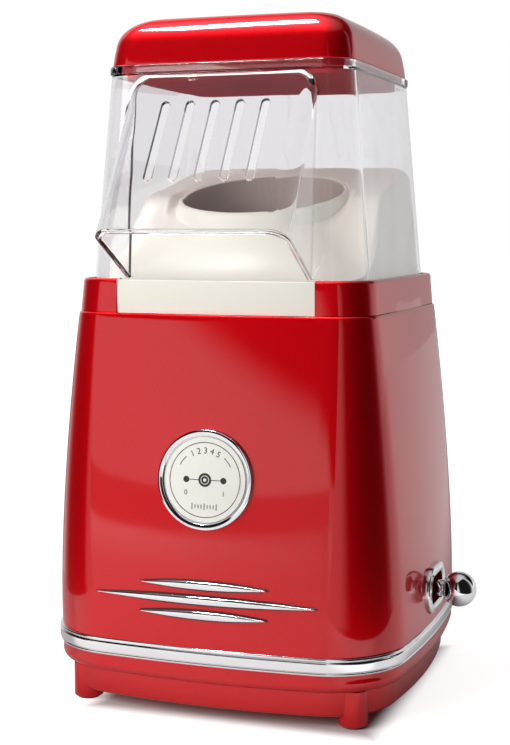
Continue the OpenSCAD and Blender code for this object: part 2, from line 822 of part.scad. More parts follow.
module commutator() {
    color(copper) place() translate([0, 0, motor_z + 2.5]) difference() {
        cylinder(r = 4, h = 6);
        translate([0, 0, -1]) cylinder(r = shaft_r + 0.02, h = 9);
        for (q = [0 : 60 : 300])
            rotate([0, 0, q]) translate([3.4, -0.25, -1]) cube([2, 0.5, 9]);
    }
}
module brush_card() {
    color(mica) place() difference() {
        union() {
            translate([0, 0, motor_z - 1.9]) cylinder(r = motor_r - 3.1, h = 1.5);
            for (s = [-1, 1])
                translate([s * 8.5 - 4, -2, motor_z - 0.5]) cube([8, 4, 7]);
        }
        translate([0, 0, motor_z - 3]) cylinder(r = 4.4, h = 16);
    }
}
module motor_shaft() {
    color(steel) place() translate([0, 0, motor_z - 8]) cylinder(r = shaft_r, h = 70);
}

// ---------- Electronics ----------
board_x = -62;
module rectifier_board() {
    color([0.2, 0.4, 0.2]) place() translate([board_x, 0, floor_z + floor_t]) difference() {
        union() {
            translate([-12, -16, 6]) cube([24, 32, 1.6]);
            for (s = [-1, 1])
                translate([0, s * 12, 0]) cylinder(r = 3, h = 6.1);
        }
        for (s = [-1, 1])
            translate([0, s * 12, -1]) cylinder(r = 1.2, h = 12);
    }
}
module rectifier_diodes() {
    color(black) place() for (i = [0 : 3])
        translate([board_x - 7.5 + i * 5, 0, floor_z + floor_t + 7.6]) {
            translate([0, 0, 1.5]) rotate([90, 0, 0]) cylinder(r = 1.5, h = 7, center = true);
        }
}

// ---------- Funnel ----------
funnel_gap = 0.8;
funnel_t = 2.2;
neck_z = 231;
apron_top = 213;

function hood_half(z) = hood_foot_half
    + (hood_top_half - hood_foot_half) * (z - collar_z) / (hood_shoulder_z - 4 - collar_z);
function funnel_half(z) = hood_half(z) - hood_wall - funnel_gap;
function deck_z(y) = mouth_z + y * tan(mouth_tilt);
function smooth(u) = let (v = min(max(u, 0), 1)) v * v * (3 - 2 * v);
function mix(a, b, k) = a + (b - a) * k;

// How much a direction belongs to the front ramp, and to the raised front rim
function ramp_share(q) = smooth((-sin(q) - 0.05) / 0.7);
function rim_share(q) = smooth((-sin(q) + 0.35) / 0.9);

funnel_base_z = carrier_z + carrier_t;
function base_points(t) = outline(
    funnel_half(funnel_base_z) - t, depth_ratio * (funnel_half(funnel_base_z) - t), 15 - t, 0.6);

// One point of the funnel's skin: t runs from the mouth's rim (0) to the wall (1), drop is below the skin
function skin(p, t, drop, inward) =
    let (
        q = atan2(p[1], p[0]),
        rim = [ (mouth_r + 3.2) * cos(q), (mouth_r + 3.2) * sin(q) * cos(mouth_tilt) ],
        top_half = funnel_half(266) / funnel_half(funnel_base_z),
        lift = mix(top_half, 1, ramp_share(q)),
        wall_pt = [p[0] * lift - inward * cos(q), p[1] * lift - inward * sin(q)],
        x = mix(rim[0], wall_pt[0], t),
        y = mix(rim[1], wall_pt[1], t),
        foot = deck_z(rim[1]) - rim_drop * rim_share(q),
        ramp = mix(foot, apron_top, 1 - pow(1 - t, 1.7)),
        edge = max(t - 0.86, 0) / 0.14,
        deck = mix(foot, deck_z(y), smooth(t / 0.3)) - 5 * edge * edge
    )
    [x, y, mix(deck, ramp, ramp_share(q)) - drop];

function neck_point(p, r, z) =
    let (q = atan2(p[1], p[0]))
    [r * cos(q), r * sin(q) * cos(mouth_tilt), z];

module ivory_funnel() {
    pts = base_points(0);
    low = base_points(funnel_t);
    function lip(p, r, dz) =
        let (n = neck_point(p, r, 0)) [n[0], n[1], deck_z(n[1]) + dz];
    outer_t = [0.1, 0.22, 0.36, 0.5, 0.64, 0.78, 0.88, 0.94, 1];
    under_t = [1, 0.9, 0.7, 0.45, 0.2];
    rings = concat(
        [
            [for (p = pts) neck_point(p, mouth_r, neck_z)],
            [for (p = pts) lip(p, mouth_r, -1.2)],
            [for (p = pts) lip(p, mouth_r + 0.5, -0.2)],
            [for (p = pts) lip(p, mouth_r + 1.4, 0)],
            [for (p = pts) lip(p, mouth_r + 2.4, -0.6)],
            [for (p = pts) skin(p, 0.02, 0, 0)]
        ],
        [for (t = outer_t) [for (p = pts) skin(p, t, 0, 0)]],
        [[for (p = pts) [p[0], p[1], funnel_base_z]]],
        [[for (p = low) [p[0], p[1], funnel_base_z]]],
        [for (t = under_t) [for (p = pts) skin(p, t, funnel_t + 0.2, funnel_t)]],
        [
            [for (p = pts) neck_point(p, mouth_r + 3, skin(p, 0, funnel_t + 0.6, 0)[2])],
            [for (p = pts) neck_point(p, mouth_r + 3, neck_z)]
        ]
    );
    face_y = 0.3 - depth_ratio * (collar_half + 0.6);
    front = [
        for (x = [-apron_half : apron_half / 8 : apron_half + 0.01])
            [x, face_y - bow(collar_bow, x / 58)]
    ];
    color(ivory) place() {
        ring_wall([for (i = [len(rings) - 1 : -1 : 0]) rings[i]]);
        difference() {
            union() {
                translate([0, 0, shoulder_z + 0.1]) linear_extrude(apron_top - shoulder_z - 0.1)
                    polygon(concat([[apron_half, -67.5], [-apron_half, -67.5]], front));
            }
            translate([-apron_half + 3, -73.6, shoulder_z - 1])
                cube([2 * apron_half - 6, 10, apron_top - shoulder_z - 1.6]);
        }
    }
}

// ---------- Hood ----------
rim_h = 3.8;
neck_half = 59;
neck_corner = 11.5;
neck_bow = 0.3;
neck_wall = 1.6;
neck_top_z = 322.5;
hood_bow = 0.6;
function hood_corner(z) = 16.5 - 5.5 * (z - collar_z) / 104;
function hood_level(z, t) = [z, hood_half(z) - t, hood_corner(z) - t, hood_bow];
skirt_bottom = 208.4;
panel_slope = (chute_reach - depth_ratio * hood_half(chute_top_z)) / (chute_top_z - chute_tip_z);
function panel_y(z) = -chute_reach + (z - chute_tip_z) * panel_slope;
chute_round = 10;

// Level ring of the chute's wedge: t is the inset, back is how far it runs into the hood
function chute_ring(z, t, back) =
    let (
        near_top = max(z + t - (chute_top_z - chute_round), 0),
        narrow = chute_round - sqrt(max(chute_round * chute_round - near_top * near_top, 0)),
        w = chute_half - t - narrow,
        yf = panel_y(z) + t * 1.25,
        yb = -depth_ratio * hood_half(z) + back,
        r = min(chute_round - t, max((yb - yf) * 0.5, 0.3))
    )
    concat(
        [for (i = [0 : 6]) let (q = 180 + 15 * i) [-w + r + r * cos(q), yf + r + r * sin(q), z]],
        [for (i = [0 : 6]) let (q = 270 + 15 * i) [w - r + r * cos(q), yf + r + r * sin(q), z]],
        [[w, yb, z], [-w, yb, z]]
    );

chute_heights = [205, 236, 262, 285, 300, 306, 309.5, 311.5];
module clear_hood() {
    outer = [
        hood_level(skirt_bottom, 0), hood_level(collar_z, 0), hood_level(245, 0), hood_level(280, 0),
        hood_level(hood_shoulder_z - rim_h, 0)
    ];
    rim = [
        [hood_shoulder_z - rim_h + 0.4, hood_top_half + 0.5, 11.5, hood_bow],
        [hood_shoulder_z - 0.4, hood_top_half + 0.4, 11.5, hood_bow],
        [hood_shoulder_z, hood_top_half, 11, hood_bow],
        [hood_shoulder_z, neck_half, neck_corner, neck_bow],
        [neck_top_z, neck_half, neck_corner, neck_bow],
        [neck_top_z, neck_half - neck_wall, neck_corner - neck_wall, neck_bow],
        [hood_shoulder_z - 3, neck_half - neck_wall, neck_corner - neck_wall, neck_bow]
    ];
    inner = [
        hood_level(hood_shoulder_z - rim_h - 1, hood_wall), hood_level(280, hood_wall),
        hood_level(245, hood_wall), hood_level(skirt_bottom, hood_wall)
    ];
    mouth_angle = atan((chute_tip_z - collar_z) / (chute_reach - depth_ratio * hood_half(collar_z)));
    color(clear) place() difference() {
        union() {
            ring_wall([for (l = concat(outer, rim, inner)) ring(l)]);
            solid_loft([for (z = chute_heights) chute_ring(z, 0, 1)]);
        }
        solid_loft([for (z = [203, 236, 262, 285, 300, 305, 308.5]) chute_ring(z, 2, 5)]);
        translate([0, -depth_ratio * hood_half(collar_z), collar_z + 0.3]) rotate([-mouth_angle, 0, 0])
            translate([-60, -80, -60]) cube([120, 80, 60]);
        translate([-apron_half - 0.6, -100, 190]) cube([2 * apron_half + 1.2, 40, collar_z - 190 + 0.2]);
        for (i = [0 : slot_count - 1])
            translate([(i - (slot_count - 1) / 2) * slot_pitch, panel_y(279.6), 279.6])
                rotate([90 - atan(panel_slope), 0, 0]) translate([0, 0, -6])
                    linear_extrude(12) rotate([0, 0, 90]) pill(slot_len, slot_w);
    }
}

// ---------- Cap ----------
module cap_shell() {
    function at(z, a) = ring([z, a, 12, 0.8]);
    top = cap_top_z;
    color(red) place() difference() {
        solid_loft([
            at(cap_z, cap_half - 0.3), at(cap_z + 0.5, cap_half), at(cap_z + 1.2, cap_half - 0.1),
            at(cap_z + 7, cap_half - 1.2), at(top - 9, cap_half - 2.6), at(top - 6, cap_half - 4),
            at(top - 3.6, cap_half - 6.1), at(top - 1.7, cap_half - 9), at(top - 0.5, cap_half - 12.4),
            at(top, cap_half - 17)
        ]);
        solid_loft([
            at(cap_z - 1, cap_half - 2.2), at(cap_z + 7, cap_half - 3.4), at(top - 9, cap_half - 5),
            at(top - 6, cap_half - 7), at(top - 3.8, cap_half - 11), at(top - 2.5, cap_half - 17)
        ]);
    }
}
plug_half = 56.2;
plug_corner = 9;
plug_z = 311.5;
module cap_plug() {
    color(red) place() difference() {
        union() {
            translate([0, 0, plug_z]) linear_extrude(10) round_square(plug_half, plug_corner);
            corners() translate([34, 34, plug_z]) cylinder(r = 4, h = cap_top_z - 2.5 - plug_z);
        }
        translate([0, 0, plug_z + 2]) linear_extrude(10) difference() {
            round_square(plug_half - 2, plug_corner - 2);
            for (sx = [-1, 1])
                for (sy = [-1, 1])
                    translate([sx * 34, sy * 34]) circle(4);
        }
    }
}

base_tray();
foot_pads();
base_screws();
chrome_band();
body_shell();
ivory_funnel();
clear_hood();
cap_shell();
cap_plug();
dial_bezel();
dial_face();
badge_backing();
badge_bars();
lever_escutcheon();
lever_stem();
lever_collar();
ball_knob();
lever_arm();
lever_pivot_pin();
switch_bracket();
switch_body();
switch_slider();
switch_screws();
cord_gland();
terminal_block();
carrier_plate();
carrier_screws();
popping_chamber();
heat_sleeve();
mica_frame();
heater_coil();
thermostat();
thermal_fuse();
blower_housing();
blower_cover();
blower_screws();
impeller();
motor_bracket();
motor_screws();
motor_can();
motor_end_cap();
motor_bushings();
field_magnets();
armature();
commutator();
brush_card();
motor_shaft();
rectifier_board();
rectifier_diodes();
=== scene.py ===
"""Finished looks for a tabletop hot-air popcorn maker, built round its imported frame."""

import json
import math

import bmesh
import bpy
from bpy.props import FloatProperty, FloatVectorProperty, PointerProperty
from mathutils import Matrix, Vector

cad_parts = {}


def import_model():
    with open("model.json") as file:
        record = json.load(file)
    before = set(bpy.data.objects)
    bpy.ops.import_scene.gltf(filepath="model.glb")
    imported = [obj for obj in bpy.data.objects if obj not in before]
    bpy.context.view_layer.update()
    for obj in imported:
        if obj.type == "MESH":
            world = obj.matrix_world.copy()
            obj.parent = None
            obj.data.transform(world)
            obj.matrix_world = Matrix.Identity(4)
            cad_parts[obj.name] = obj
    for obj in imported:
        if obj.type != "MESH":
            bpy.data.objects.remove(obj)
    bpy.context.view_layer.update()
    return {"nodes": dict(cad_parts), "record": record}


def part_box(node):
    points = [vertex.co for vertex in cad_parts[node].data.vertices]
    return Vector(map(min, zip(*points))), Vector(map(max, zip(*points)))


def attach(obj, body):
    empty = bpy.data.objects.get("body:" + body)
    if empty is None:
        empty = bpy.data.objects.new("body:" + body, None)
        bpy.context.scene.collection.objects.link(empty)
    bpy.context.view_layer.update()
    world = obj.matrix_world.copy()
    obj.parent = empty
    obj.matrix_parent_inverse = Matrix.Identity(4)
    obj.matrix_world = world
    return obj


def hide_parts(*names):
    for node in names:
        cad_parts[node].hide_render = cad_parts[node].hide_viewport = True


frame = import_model()

bl_info = {
    "name": "Popcorn Maker Finish",
    "version": (1, 0, 0),
    "blender": (4, 5, 0),
    "location": "3D View > Sidebar > Popcorn",
    "description": "Builds the shells, trim, hood, dial, finishes and studio of a popcorn maker",
    "category": "Object",
}

# ---------------------------------------------------------------- sizes and places
# Sizes are millimetres from the tower's centre line unless a property holds them in metres.
MM = 0.001
BAND_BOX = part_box("chrome_band")
AXIS = (BAND_BOX[0] + BAND_BOX[1]) / 2
BAND_Z = BAND_BOX[0].z / MM
BAND_TOP = BAND_BOX[1].z / MM
CAP_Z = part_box("cap_shell")[0].z / MM
CAP_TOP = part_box("cap_shell")[1].z / MM
BALL_R = 9
BALL_X = (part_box("ball_knob")[1].x - AXIS.x) / MM - BALL_R

GAP = 0.3
RIM_Z = CAP_Z - GAP
RIM_HIGH = 4
MOUTH_R = 42.5
MOUTH_Z = 256
TILT = math.radians(14.2)
FOOT_CORNER = 36
SHOULDER_CORNER = 18
FOOT_BOW = 2.6
SHOULDER_BOW = 1.6
BELLY = 1.5

DEPTH_RATIO = 0.99
SIDE_STEPS = 20
CORNER_STEPS = 12
SEAM = 1e-4
STRAIGHT = 1e-4
SHARP = math.radians(32)


def length(label, about, size, low, high):
    """A size property given in millimetres and kept in metres."""
    return FloatProperty(
        name=label, description=about, default=size * MM, min=low * MM, max=high * MM,
        unit="LENGTH", subtype="DISTANCE",
    )


def colour(label, about, rgb):
    return FloatVectorProperty(
        name=label, description=about, default=rgb, min=0, max=1, size=3, subtype="COLOR"
    )


class PopcornSizes(bpy.types.PropertyGroup):
    """Main sizes of the tower, hood, cap and trim"""

    plinth_half: length("Plinth", "Half width of the plinth under the skirt", 86, 84, 87)
    skirt_half: length("Skirt", "Half width of the skirt under the chrome band", 90.8, 89, 92)
    band_half: length("Band", "Half width of the chrome band", 92, 91, 93)
    foot_half: length("Housing foot", "Half width of the housing above the band", 91, 90, 92)
    shoulder_half: length("Shoulder", "Half width of the housing at its shoulder", 77.9, 76, 79)
    shoulder_z: length("Shoulder height", "Height of the shoulder", 196.5, 192, 200)
    collar_half: length("Collar", "Half width of the collar at its rim", 76, 75, 77)
    collar_z: length("Collar height", "Height of the collar's rim", 213.4, 212, 215)
    hood_foot: length("Hood foot", "Half width of the clear hood at the collar", 71.6, 71, 73)
    hood_top: length("Hood top", "Half width of the clear hood under its rim", 63.5, 62, 65)
    cap_half: length("Cap", "Half width of the cap at its lower edge", 62.9, 62, 64)
    chute_half: length("Chute", "Half width of the chute", 48, 44, 49)
    dial_z: length("Dial height", "Height of the dial's centre", 118, 110, 126)
    dial_r: length("Dial radius", "Outer radius of the dial's bezel", 24.2, 22, 26)
    badge_z: length("Badge height", "Height of the badge's middle bar", 60, 56, 66)
    lever_z: length("Lever height", "Height of the side lever", 52.5, 51, 55)
    ball_r: length("Ball radius", "Radius of the lever's ball", BALL_R, 8, 10)


class PopcornColours(bpy.types.PropertyGroup):
    """Base colours of the finishes"""

    red: colour("Red", "Metallic red of the shells", (0.76, 0.0015, 0.007))
    deep_red: colour("Deep red", "Red between the paint's flakes", (0.50, 0.0006, 0.003))
    chrome: colour("Chrome", "Plated trim", (0.88, 0.88, 0.90))
    ivory: colour("Ivory", "Satin ivory of the funnel", (0.88, 0.86, 0.78))
    clear: colour("Clear", "Tint of the clear hood", (0.945, 0.937, 0.950))
    dial: colour("Dial", "Printed plate of the dial", (0.97, 0.96, 0.91))
    ink: colour("Ink", "Marks on the dial and the badge's outline", (0.02, 0.018, 0.018))


def size(name):
    """One of the sizes above, in millimetres."""
    return getattr(bpy.context.scene.popcorn_sizes, name) / MM


def tint(name, share=1.0):
    """One of the colours above, or a share of it."""
    rgb = getattr(bpy.context.scene.popcorn_colours, name)
    return tuple(c * share for c in rgb) + (1.0,)


# ---------------------------------------------------------------- mesh tools
def mix(a, b, k):
    return a + (b - a) * k


def smooth(u):
    v = min(max(u, 0), 1)
    return v * v * (3 - 2 * v)


def rounded_corner(start, end, q1, q2):
    """Points from start to just before end on an arc whose normal turns from q1 to q2 degrees."""
    a1, a2 = math.radians(q1), math.radians(q2)
    points = []
    for i in range(CORNER_STEPS):
        a = a1 + (a2 - a1) * i / CORNER_STEPS
        u = (math.cos(a) - math.cos(a1)) / (math.cos(a2) - math.cos(a1))
        v = (math.sin(a) - math.sin(a1)) / (math.sin(a2) - math.sin(a1))
        points.append((mix(start[0], end[0], u), mix(start[1], end[1], v)))
    return points


def bowed_side(start, end, out, bow):
    """Points from start to just before end, pushed out by a shallow bow."""
    points = []
    for i in range(SIDE_STEPS):
        t = i / SIDE_STEPS
        swell = bow * 4 * t * (1 - t)
        x, y = mix(start[0], end[0], t), mix(start[1], end[1], t)
        points.append((x + out[0] * swell, y + out[1] * swell))
    return points


def section(half, radius, bow, deep=None):
    """Rounded square with bowed sides whose corners run on from the sides without a crease."""
    deep = DEPTH_RATIO * half if deep is None else deep
    fx, fy = half - radius, deep - radius
    lx = math.degrees(math.atan(2 * bow / max(fx, 1)))
    ly = math.degrees(math.atan(2 * bow / max(fy, 1)))
    return (
        bowed_side((-fx, -deep), (fx, -deep), (0, -1), bow)
        + rounded_corner((fx, -deep), (half, -fy), lx - 90, -ly)
        + bowed_side((half, -fy), (half, fy), (1, 0), bow)
        + rounded_corner((half, fy), (fx, deep), ly, 90 - lx)
        + bowed_side((fx, deep), (-fx, deep), (0, 1), bow)
        + rounded_corner((-fx, deep), (-half, fy), 90 + lx, 180 - ly)
        + bowed_side((-half, fy), (-half, -fy), (-1, 0), bow)
        + rounded_corner((-half, -fy), (-fx, -deep), 180 + ly, 270 - lx)
    )


def ring(z, half, radius, bow):
    return [Vector((x, y, z)) for x, y in section(half, radius, bow)]


def rounded_path(corners, steps=5):
    """A profile through corners (x, z, radius), each rounded by its radius."""
    path = []
    for i, (x, z, radius) in enumerate(corners):
        here = Vector((x, z))
        if radius <= 0 or i in (0, len(corners) - 1):
            path.append((x, z))
            continue
        back = (Vector(corners[i - 1][:2]) - here).normalized()
        on = (Vector(corners[i + 1][:2]) - here).normalized()
        half_angle = back.angle(on) / 2
        reach = radius / math.tan(half_angle)
        centre = here + (back + on).normalized() * radius / math.sin(half_angle)
        first, last = here + back * reach - centre, here + on * reach - centre
        for k in range(steps + 1):
            spoke = first.slerp(last, k / steps) * radius if first.angle(last) > STRAIGHT else first
            path.append(tuple(centre + spoke))
    return path


def loft(rings, wall=False):
    """A skin drawn ring by ring; a wall closes on its first ring, a solid has both ends filled."""
    bm = bmesh.new()
    verts = bmesh.ops.create_circle(bm, segments=len(rings[0]), radius=1)["verts"]
    for vert, point in zip(verts, rings[0]):
        vert.co = point
    first = edges = list(bm.edges)
    for points in rings[1:] + (rings[:1] if wall else []):
        made = set(bmesh.ops.extrude_edge_only(bm, edges=edges)["geom"])
        fresh = {g for g in made if isinstance(g, bmesh.types.BMVert)}
        verts = [
            next(e.other_vert(v) for e in v.link_edges if e.other_vert(v) in fresh) for v in verts
        ]
        edges = [e for e in bm.edges if e.verts[0] in fresh and e.verts[1] in fresh]
        for vert, point in zip(verts, points):
            vert.co = point
    if wall:
        bmesh.ops.remove_doubles(bm, verts=bm.verts, dist=SEAM)
    else:
        bmesh.ops.contextual_create(bm, geom=first)
        bmesh.ops.contextual_create(bm, geom=edges)
    bmesh.ops.recalc_face_normals(bm, faces=bm.faces)
    return bm


def lathe(profile, steps=96):
    """A solid of revolution about Z from a closed or axis-to-axis profile (r, z)."""
    bm = bmesh.new()
    verts = [bm.verts.new((r, 0, z)) for r, z in profile]
    edges = [bm.edges.new(pair) for pair in zip(verts, verts[1:])]
    if min(profile[0][0], profile[-1][0]) > SEAM:
        edges.append(bm.edges.new((verts[-1], verts[0])))
    bmesh.ops.spin(
        bm, geom=verts + edges, axis=(0, 0, 1), cent=(0, 0, 0), angle=math.tau, steps=steps,
        use_merge=True,
    )
    bmesh.ops.remove_doubles(bm, verts=bm.verts, dist=SEAM)
    bmesh.ops.recalc_face_normals(bm, faces=bm.faces)
    return bm


def prism(outline, low, high):
    """An upright solid over an outline of (x, y) points."""
    return loft([[Vector((x, y, z)) for x, y in outline] for z in (low, high)])


def block(low, high):
    bm = bmesh.new()
    low, high = Vector(low), Vector(high)
    bmesh.ops.create_cube(bm, size=1)
    bmesh.ops.scale(bm, vec=high - low, verts=bm.verts)
    bmesh.ops.translate(bm, vec=(low + high) / 2, verts=bm.verts)
    return bm


def rod(radius, low, high, x=0, y=0, steps=48):
    bm = bmesh.new()
    bmesh.ops.create_cone(
        bm, cap_ends=True, segments=steps, radius1=radius, radius2=radius, depth=high - low
    )
    bmesh.ops.translate(bm, vec=(x, y, (low + high) / 2), verts=bm.verts)
    return bm


def pill(long, wide, steps=24):
    """Outline of a bar with round ends, lying along X."""
    reach, r = (long - wide) / 2, wide / 2
    points = []
    for end, start in ((1, -90), (-1, 90)):
        for i in range(steps + 1):
            q = math.radians(start + 180 * i / steps)
            points.append((end * reach + r * math.cos(q), r * math.sin(q)))
    return points


def moved(bm, matrix):
    bmesh.ops.transform(bm, matrix=matrix, verts=bm.verts)
    return bm


def joined(*parts):
    """Several shapes in one mesh."""
    whole = bmesh.new()
    for bm in parts:
        mesh = bpy.data.meshes.new("part")
        bm.to_mesh(mesh)
        whole.from_mesh(mesh)
        bpy.data.meshes.remove(mesh)
        bm.free()
    return whole


def carve(bm, tool, operation="DIFFERENCE"):
    """Cuts a tool shape out of a mesh, or joins it on, and frees both."""
    pair = []
    for shape in (bm, tool):
        mesh = bpy.data.meshes.new("carving")
        shape.to_mesh(mesh)
        shape.free()
        pair.append(bpy.data.objects.new("carving", mesh))
        bpy.context.scene.collection.objects.link(pair[-1])
    target, cutter = pair
    boolean = target.modifiers.new("carve", "BOOLEAN")
    boolean.object = cutter
    boolean.operation = operation
    boolean.solver = "EXACT"
    made = target.evaluated_get(bpy.context.evaluated_depsgraph_get()).to_mesh()
    result = bmesh.new()
    result.from_mesh(made)
    for thing in pair:
        mesh = thing.data
        bpy.data.objects.remove(thing)
        bpy.data.meshes.remove(mesh)
    return result


def on_axis(matrix):
    """Millimetres from the tower's centre line to metres in the shared frame."""
    return Matrix.Translation((AXIS.x, AXIS.y, 0)) @ Matrix.Scale(MM, 4) @ matrix


def piece(bm, name, body, slot, nodes=(), finish=None, sharp=SHARP):
    """Turns a shape into a finished piece that rides on its body and stands for CAD nodes."""
    moved(bm, on_axis(Matrix.Identity(4)))
    mesh = bpy.data.meshes.new(name)
    bm.to_mesh(mesh)
    bm.free()
    if not mesh.polygons:
        raise RuntimeError(f"{name} came out empty")
    mesh.shade_smooth()
    mesh.set_sharp_from_angle(angle=sharp)
    thing = bpy.data.objects.new(name, mesh)
    bpy.context.scene.collection.objects.link(thing)
    mesh.materials.append(bpy.data.materials[finish or slot])
    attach(thing, body)
    if nodes:
        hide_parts(*nodes)
    return thing


# ---------------------------------------------------------------- forms shared by several pieces
def rise(z):
    """0 at the band's top and 1 at the housing's shoulder."""
    return (z - BAND_TOP) / (size("shoulder_z") - BAND_TOP)


def shell_half(z):
    return mix(size("foot_half"), size("shoulder_half"), max(rise(z), 0) ** BELLY)


def shell_corner(z):
    return mix(FOOT_CORNER, SHOULDER_CORNER, rise(z))


def shell_bow(z):
    return mix(FOOT_BOW, SHOULDER_BOW, rise(z))


def hood_half(z):
    foot = size("collar_z")
    return mix(size("hood_foot"), size("hood_top"), (z - foot) / (RIM_Z - RIM_HIGH - foot))


def front_y(x, z):
    flat = shell_half(z) - shell_corner(z)
    return -DEPTH_RATIO * shell_half(z) - shell_bow(z) * (1 - min(abs(x) / flat, 1) ** 2)


def side_x():
    return shell_half(size("lever_z")) + FOOT_BOW


def on_front(z):
    """Stands a shape made about Z on the housing's front at a height, square to the surface."""
    lean = math.atan((shell_half(z - 2) - shell_half(z + 2)) / 4)
    return Matrix.Translation((0, front_y(0, z), z)) @ Matrix.Rotation(math.pi / 2 - lean, 4, "X")


def on_side(x):
    """Stands a shape made about Z on the right at the lever's height, its X from front to back."""
    turn = Matrix.Rotation(math.pi / 2, 4, "Y") @ Matrix.Rotation(math.pi / 2, 4, "Z")
    return Matrix.Translation((x, 0, size("lever_z"))) @ turn


def four(x, y):
    return [(sx * x, sy * y) for sx in (-1, 1) for sy in (-1, 1)]


# ---------------------------------------------------------------- node tools
class Value:
    """A node socket that takes part in arithmetic; each operation adds a Math node."""

    def __init__(self, recipe, socket):
        self.recipe = recipe
        self.socket = socket

    def __add__(self, other):
        return self.recipe.maths("ADD", self, other)

    def __sub__(self, other):
        return self.recipe.maths("SUBTRACT", self, other)

    def __mul__(self, other):
        return self.recipe.maths("MULTIPLY", self, other)

    def __rsub__(self, other):
        return self.recipe.maths("SUBTRACT", other, self)

    __radd__ = __add__
    __rmul__ = __mul__

    def mixed(self, a, b):
        """a where this value is 0, b where it is 1."""
        return self.recipe.add("ShaderNodeMix", {"data_type": "FLOAT"}, {0: self, 2: a, 3: b})


class Recipe:
    """Builds one node tree: a material's or the world's."""

    def __init__(self, owner):
        owner.use_nodes = True
        self.tree = owner.node_tree
        self.tree.nodes.clear()

    def add(self, kind, settings=None, inputs=None, output=0):
        """Adds a node: its settings first, then the values or links of its sockets."""
        node = self.tree.nodes.new(kind)
        for key, value in (settings or {}).items():
            setattr(node, key, value)
        for key, value in (inputs or {}).items():
            if isinstance(value, Value):
                self.tree.links.new(value.socket, node.inputs[key])
            else:
                node.inputs[key].default_value = value
        return Value(self, node.outputs[output]) if len(node.outputs) else node

    def maths(self, operation, *values):
        return self.add("ShaderNodeMath", {"operation": operation}, dict(enumerate(values)))

    def dot(self, vector, constant):
        return self.add(
            "ShaderNodeVectorMath", {"operation": "DOT_PRODUCT"}, {0: vector, 1: constant},
            output="Value",
        )

    def light_path(self, output):
        return self.add("ShaderNodeLightPath", output=output)

    def place(self):
        return self.add("ShaderNodeTexCoord", output="Object")

    def place_along(self, axis):
        return self.add("ShaderNodeSeparateXYZ", inputs={"Vector": self.place()}, output=axis)

    def noise(self, scale, detail=2.0, stretch=(1, 1, 1)):
        vector = self.add("ShaderNodeMapping", inputs={"Vector": self.place(), "Scale": stretch})
        return self.add(
            "ShaderNodeTexNoise", inputs={"Vector": vector, "Scale": scale, "Detail": detail}
        )

    def step(self, value, low, high):
        """0 below low, 1 above high and a smooth rise between."""
        return self.add(
            "ShaderNodeMapRange", {"interpolation_type": "SMOOTHSTEP"},
            {"Value": value, "From Min": low, "From Max": high},
        )

    def blend(self, factor, a, b):
        return self.add(
            "ShaderNodeMix", {"data_type": "RGBA"}, {"Factor": factor, 6: a, 7: b}, output=2
        )

    def bump(self, height, distance, strength=1.0):
        return self.add(
            "ShaderNodeBump", inputs={"Strength": strength, "Distance": distance, "Height": height}
        )

    def surface(self, inputs, output=True):
        shader = self.add("ShaderNodeBsdfPrincipled", inputs=inputs)
        return self.out(shader) if output else shader

    def out(self, shader, kind="ShaderNodeOutputMaterial"):
        self.add(kind, inputs={"Surface": shader})
        return shader


def recipe(name):
    """A new material; the frame's plain one of that name makes room for it."""
    plain = bpy.data.materials.get(name)
    if plain:
        plain.name = name + "_plain"
    return Recipe(bpy.data.materials.new(name))


# ---------------------------------------------------------------- finishes
def paint_red():
    """Metallic red: fine flakes under a clear coat with a faint orange peel."""
    r = recipe("red_plastic")
    flakes = r.add(
        "ShaderNodeTexVoronoi", inputs={"Vector": r.place(), "Scale": 2600.0}, output="Color"
    )
    spark = r.add("ShaderNodeSeparateColor", inputs={"Color": flakes})
    drift = r.noise(9.0, 2.0)
    shade = spark * 0.30 + drift * 0.2 + 0.50
    r.surface({
        "Base Color": r.blend(shade, tint("deep_red"), tint("red")),
        "Metallic": 0.60 + spark * 0.1,
        "Roughness": 0.40 + spark * 0.06,
        "Specular IOR Level": 0.0,
        "Coat Weight": 1.0,
        "Coat Roughness": 0.05,
        "Coat IOR": 1.5,
        "Normal": r.bump(r.noise(260.0, 1.0), 0.00002, 0.25),
    })


def satin_red():
    """Unpainted red moulding, as under the cap."""
    r = recipe("red_satin")
    cloud = r.noise(30.0, 3.0)
    r.surface({
        "Base Color": r.blend(cloud, (0.30, 0.012, 0.018, 1), (0.40, 0.02, 0.026, 1)),
        "Roughness": 0.52 + cloud * 0.1,
        "Specular IOR Level": 0.0,
        "Normal": r.bump(r.noise(700.0, 2.0), 0.00003, 0.4),
    })


def plate(name, rgb, rough, metal=1.0, scale=60.0, grain=(1, 1, 1), bump=0.00001):
    """Metal or plastic with a slow change of shade and sheen and a fine grain."""
    r = recipe(name)
    cloud = r.noise(scale, 3.0, stretch=grain)
    dark = tuple(c * 0.86 for c in rgb) + (1.0,)
    r.surface({
        "Base Color": r.blend(cloud, dark, tuple(rgb) + (1.0,)),
        "Metallic": metal,
        "Roughness": rough * 0.85 + cloud * (rough * 0.3),
        "Normal": r.bump(r.noise(scale * 12, 2.0, stretch=grain), bump, 0.5),
    })


def chrome():
    r = recipe("chrome_trim")
    haze = r.noise(45.0, 3.0)
    r.surface({
        "Base Color": r.blend(haze, (0.80, 0.81, 0.83, 1), tint("chrome")),
        "Metallic": 1.0,
        "Roughness": 0.045 + haze * 0.05,
        "Normal": r.bump(r.noise(90.0, 1.0), 0.00002, 0.15),
    })


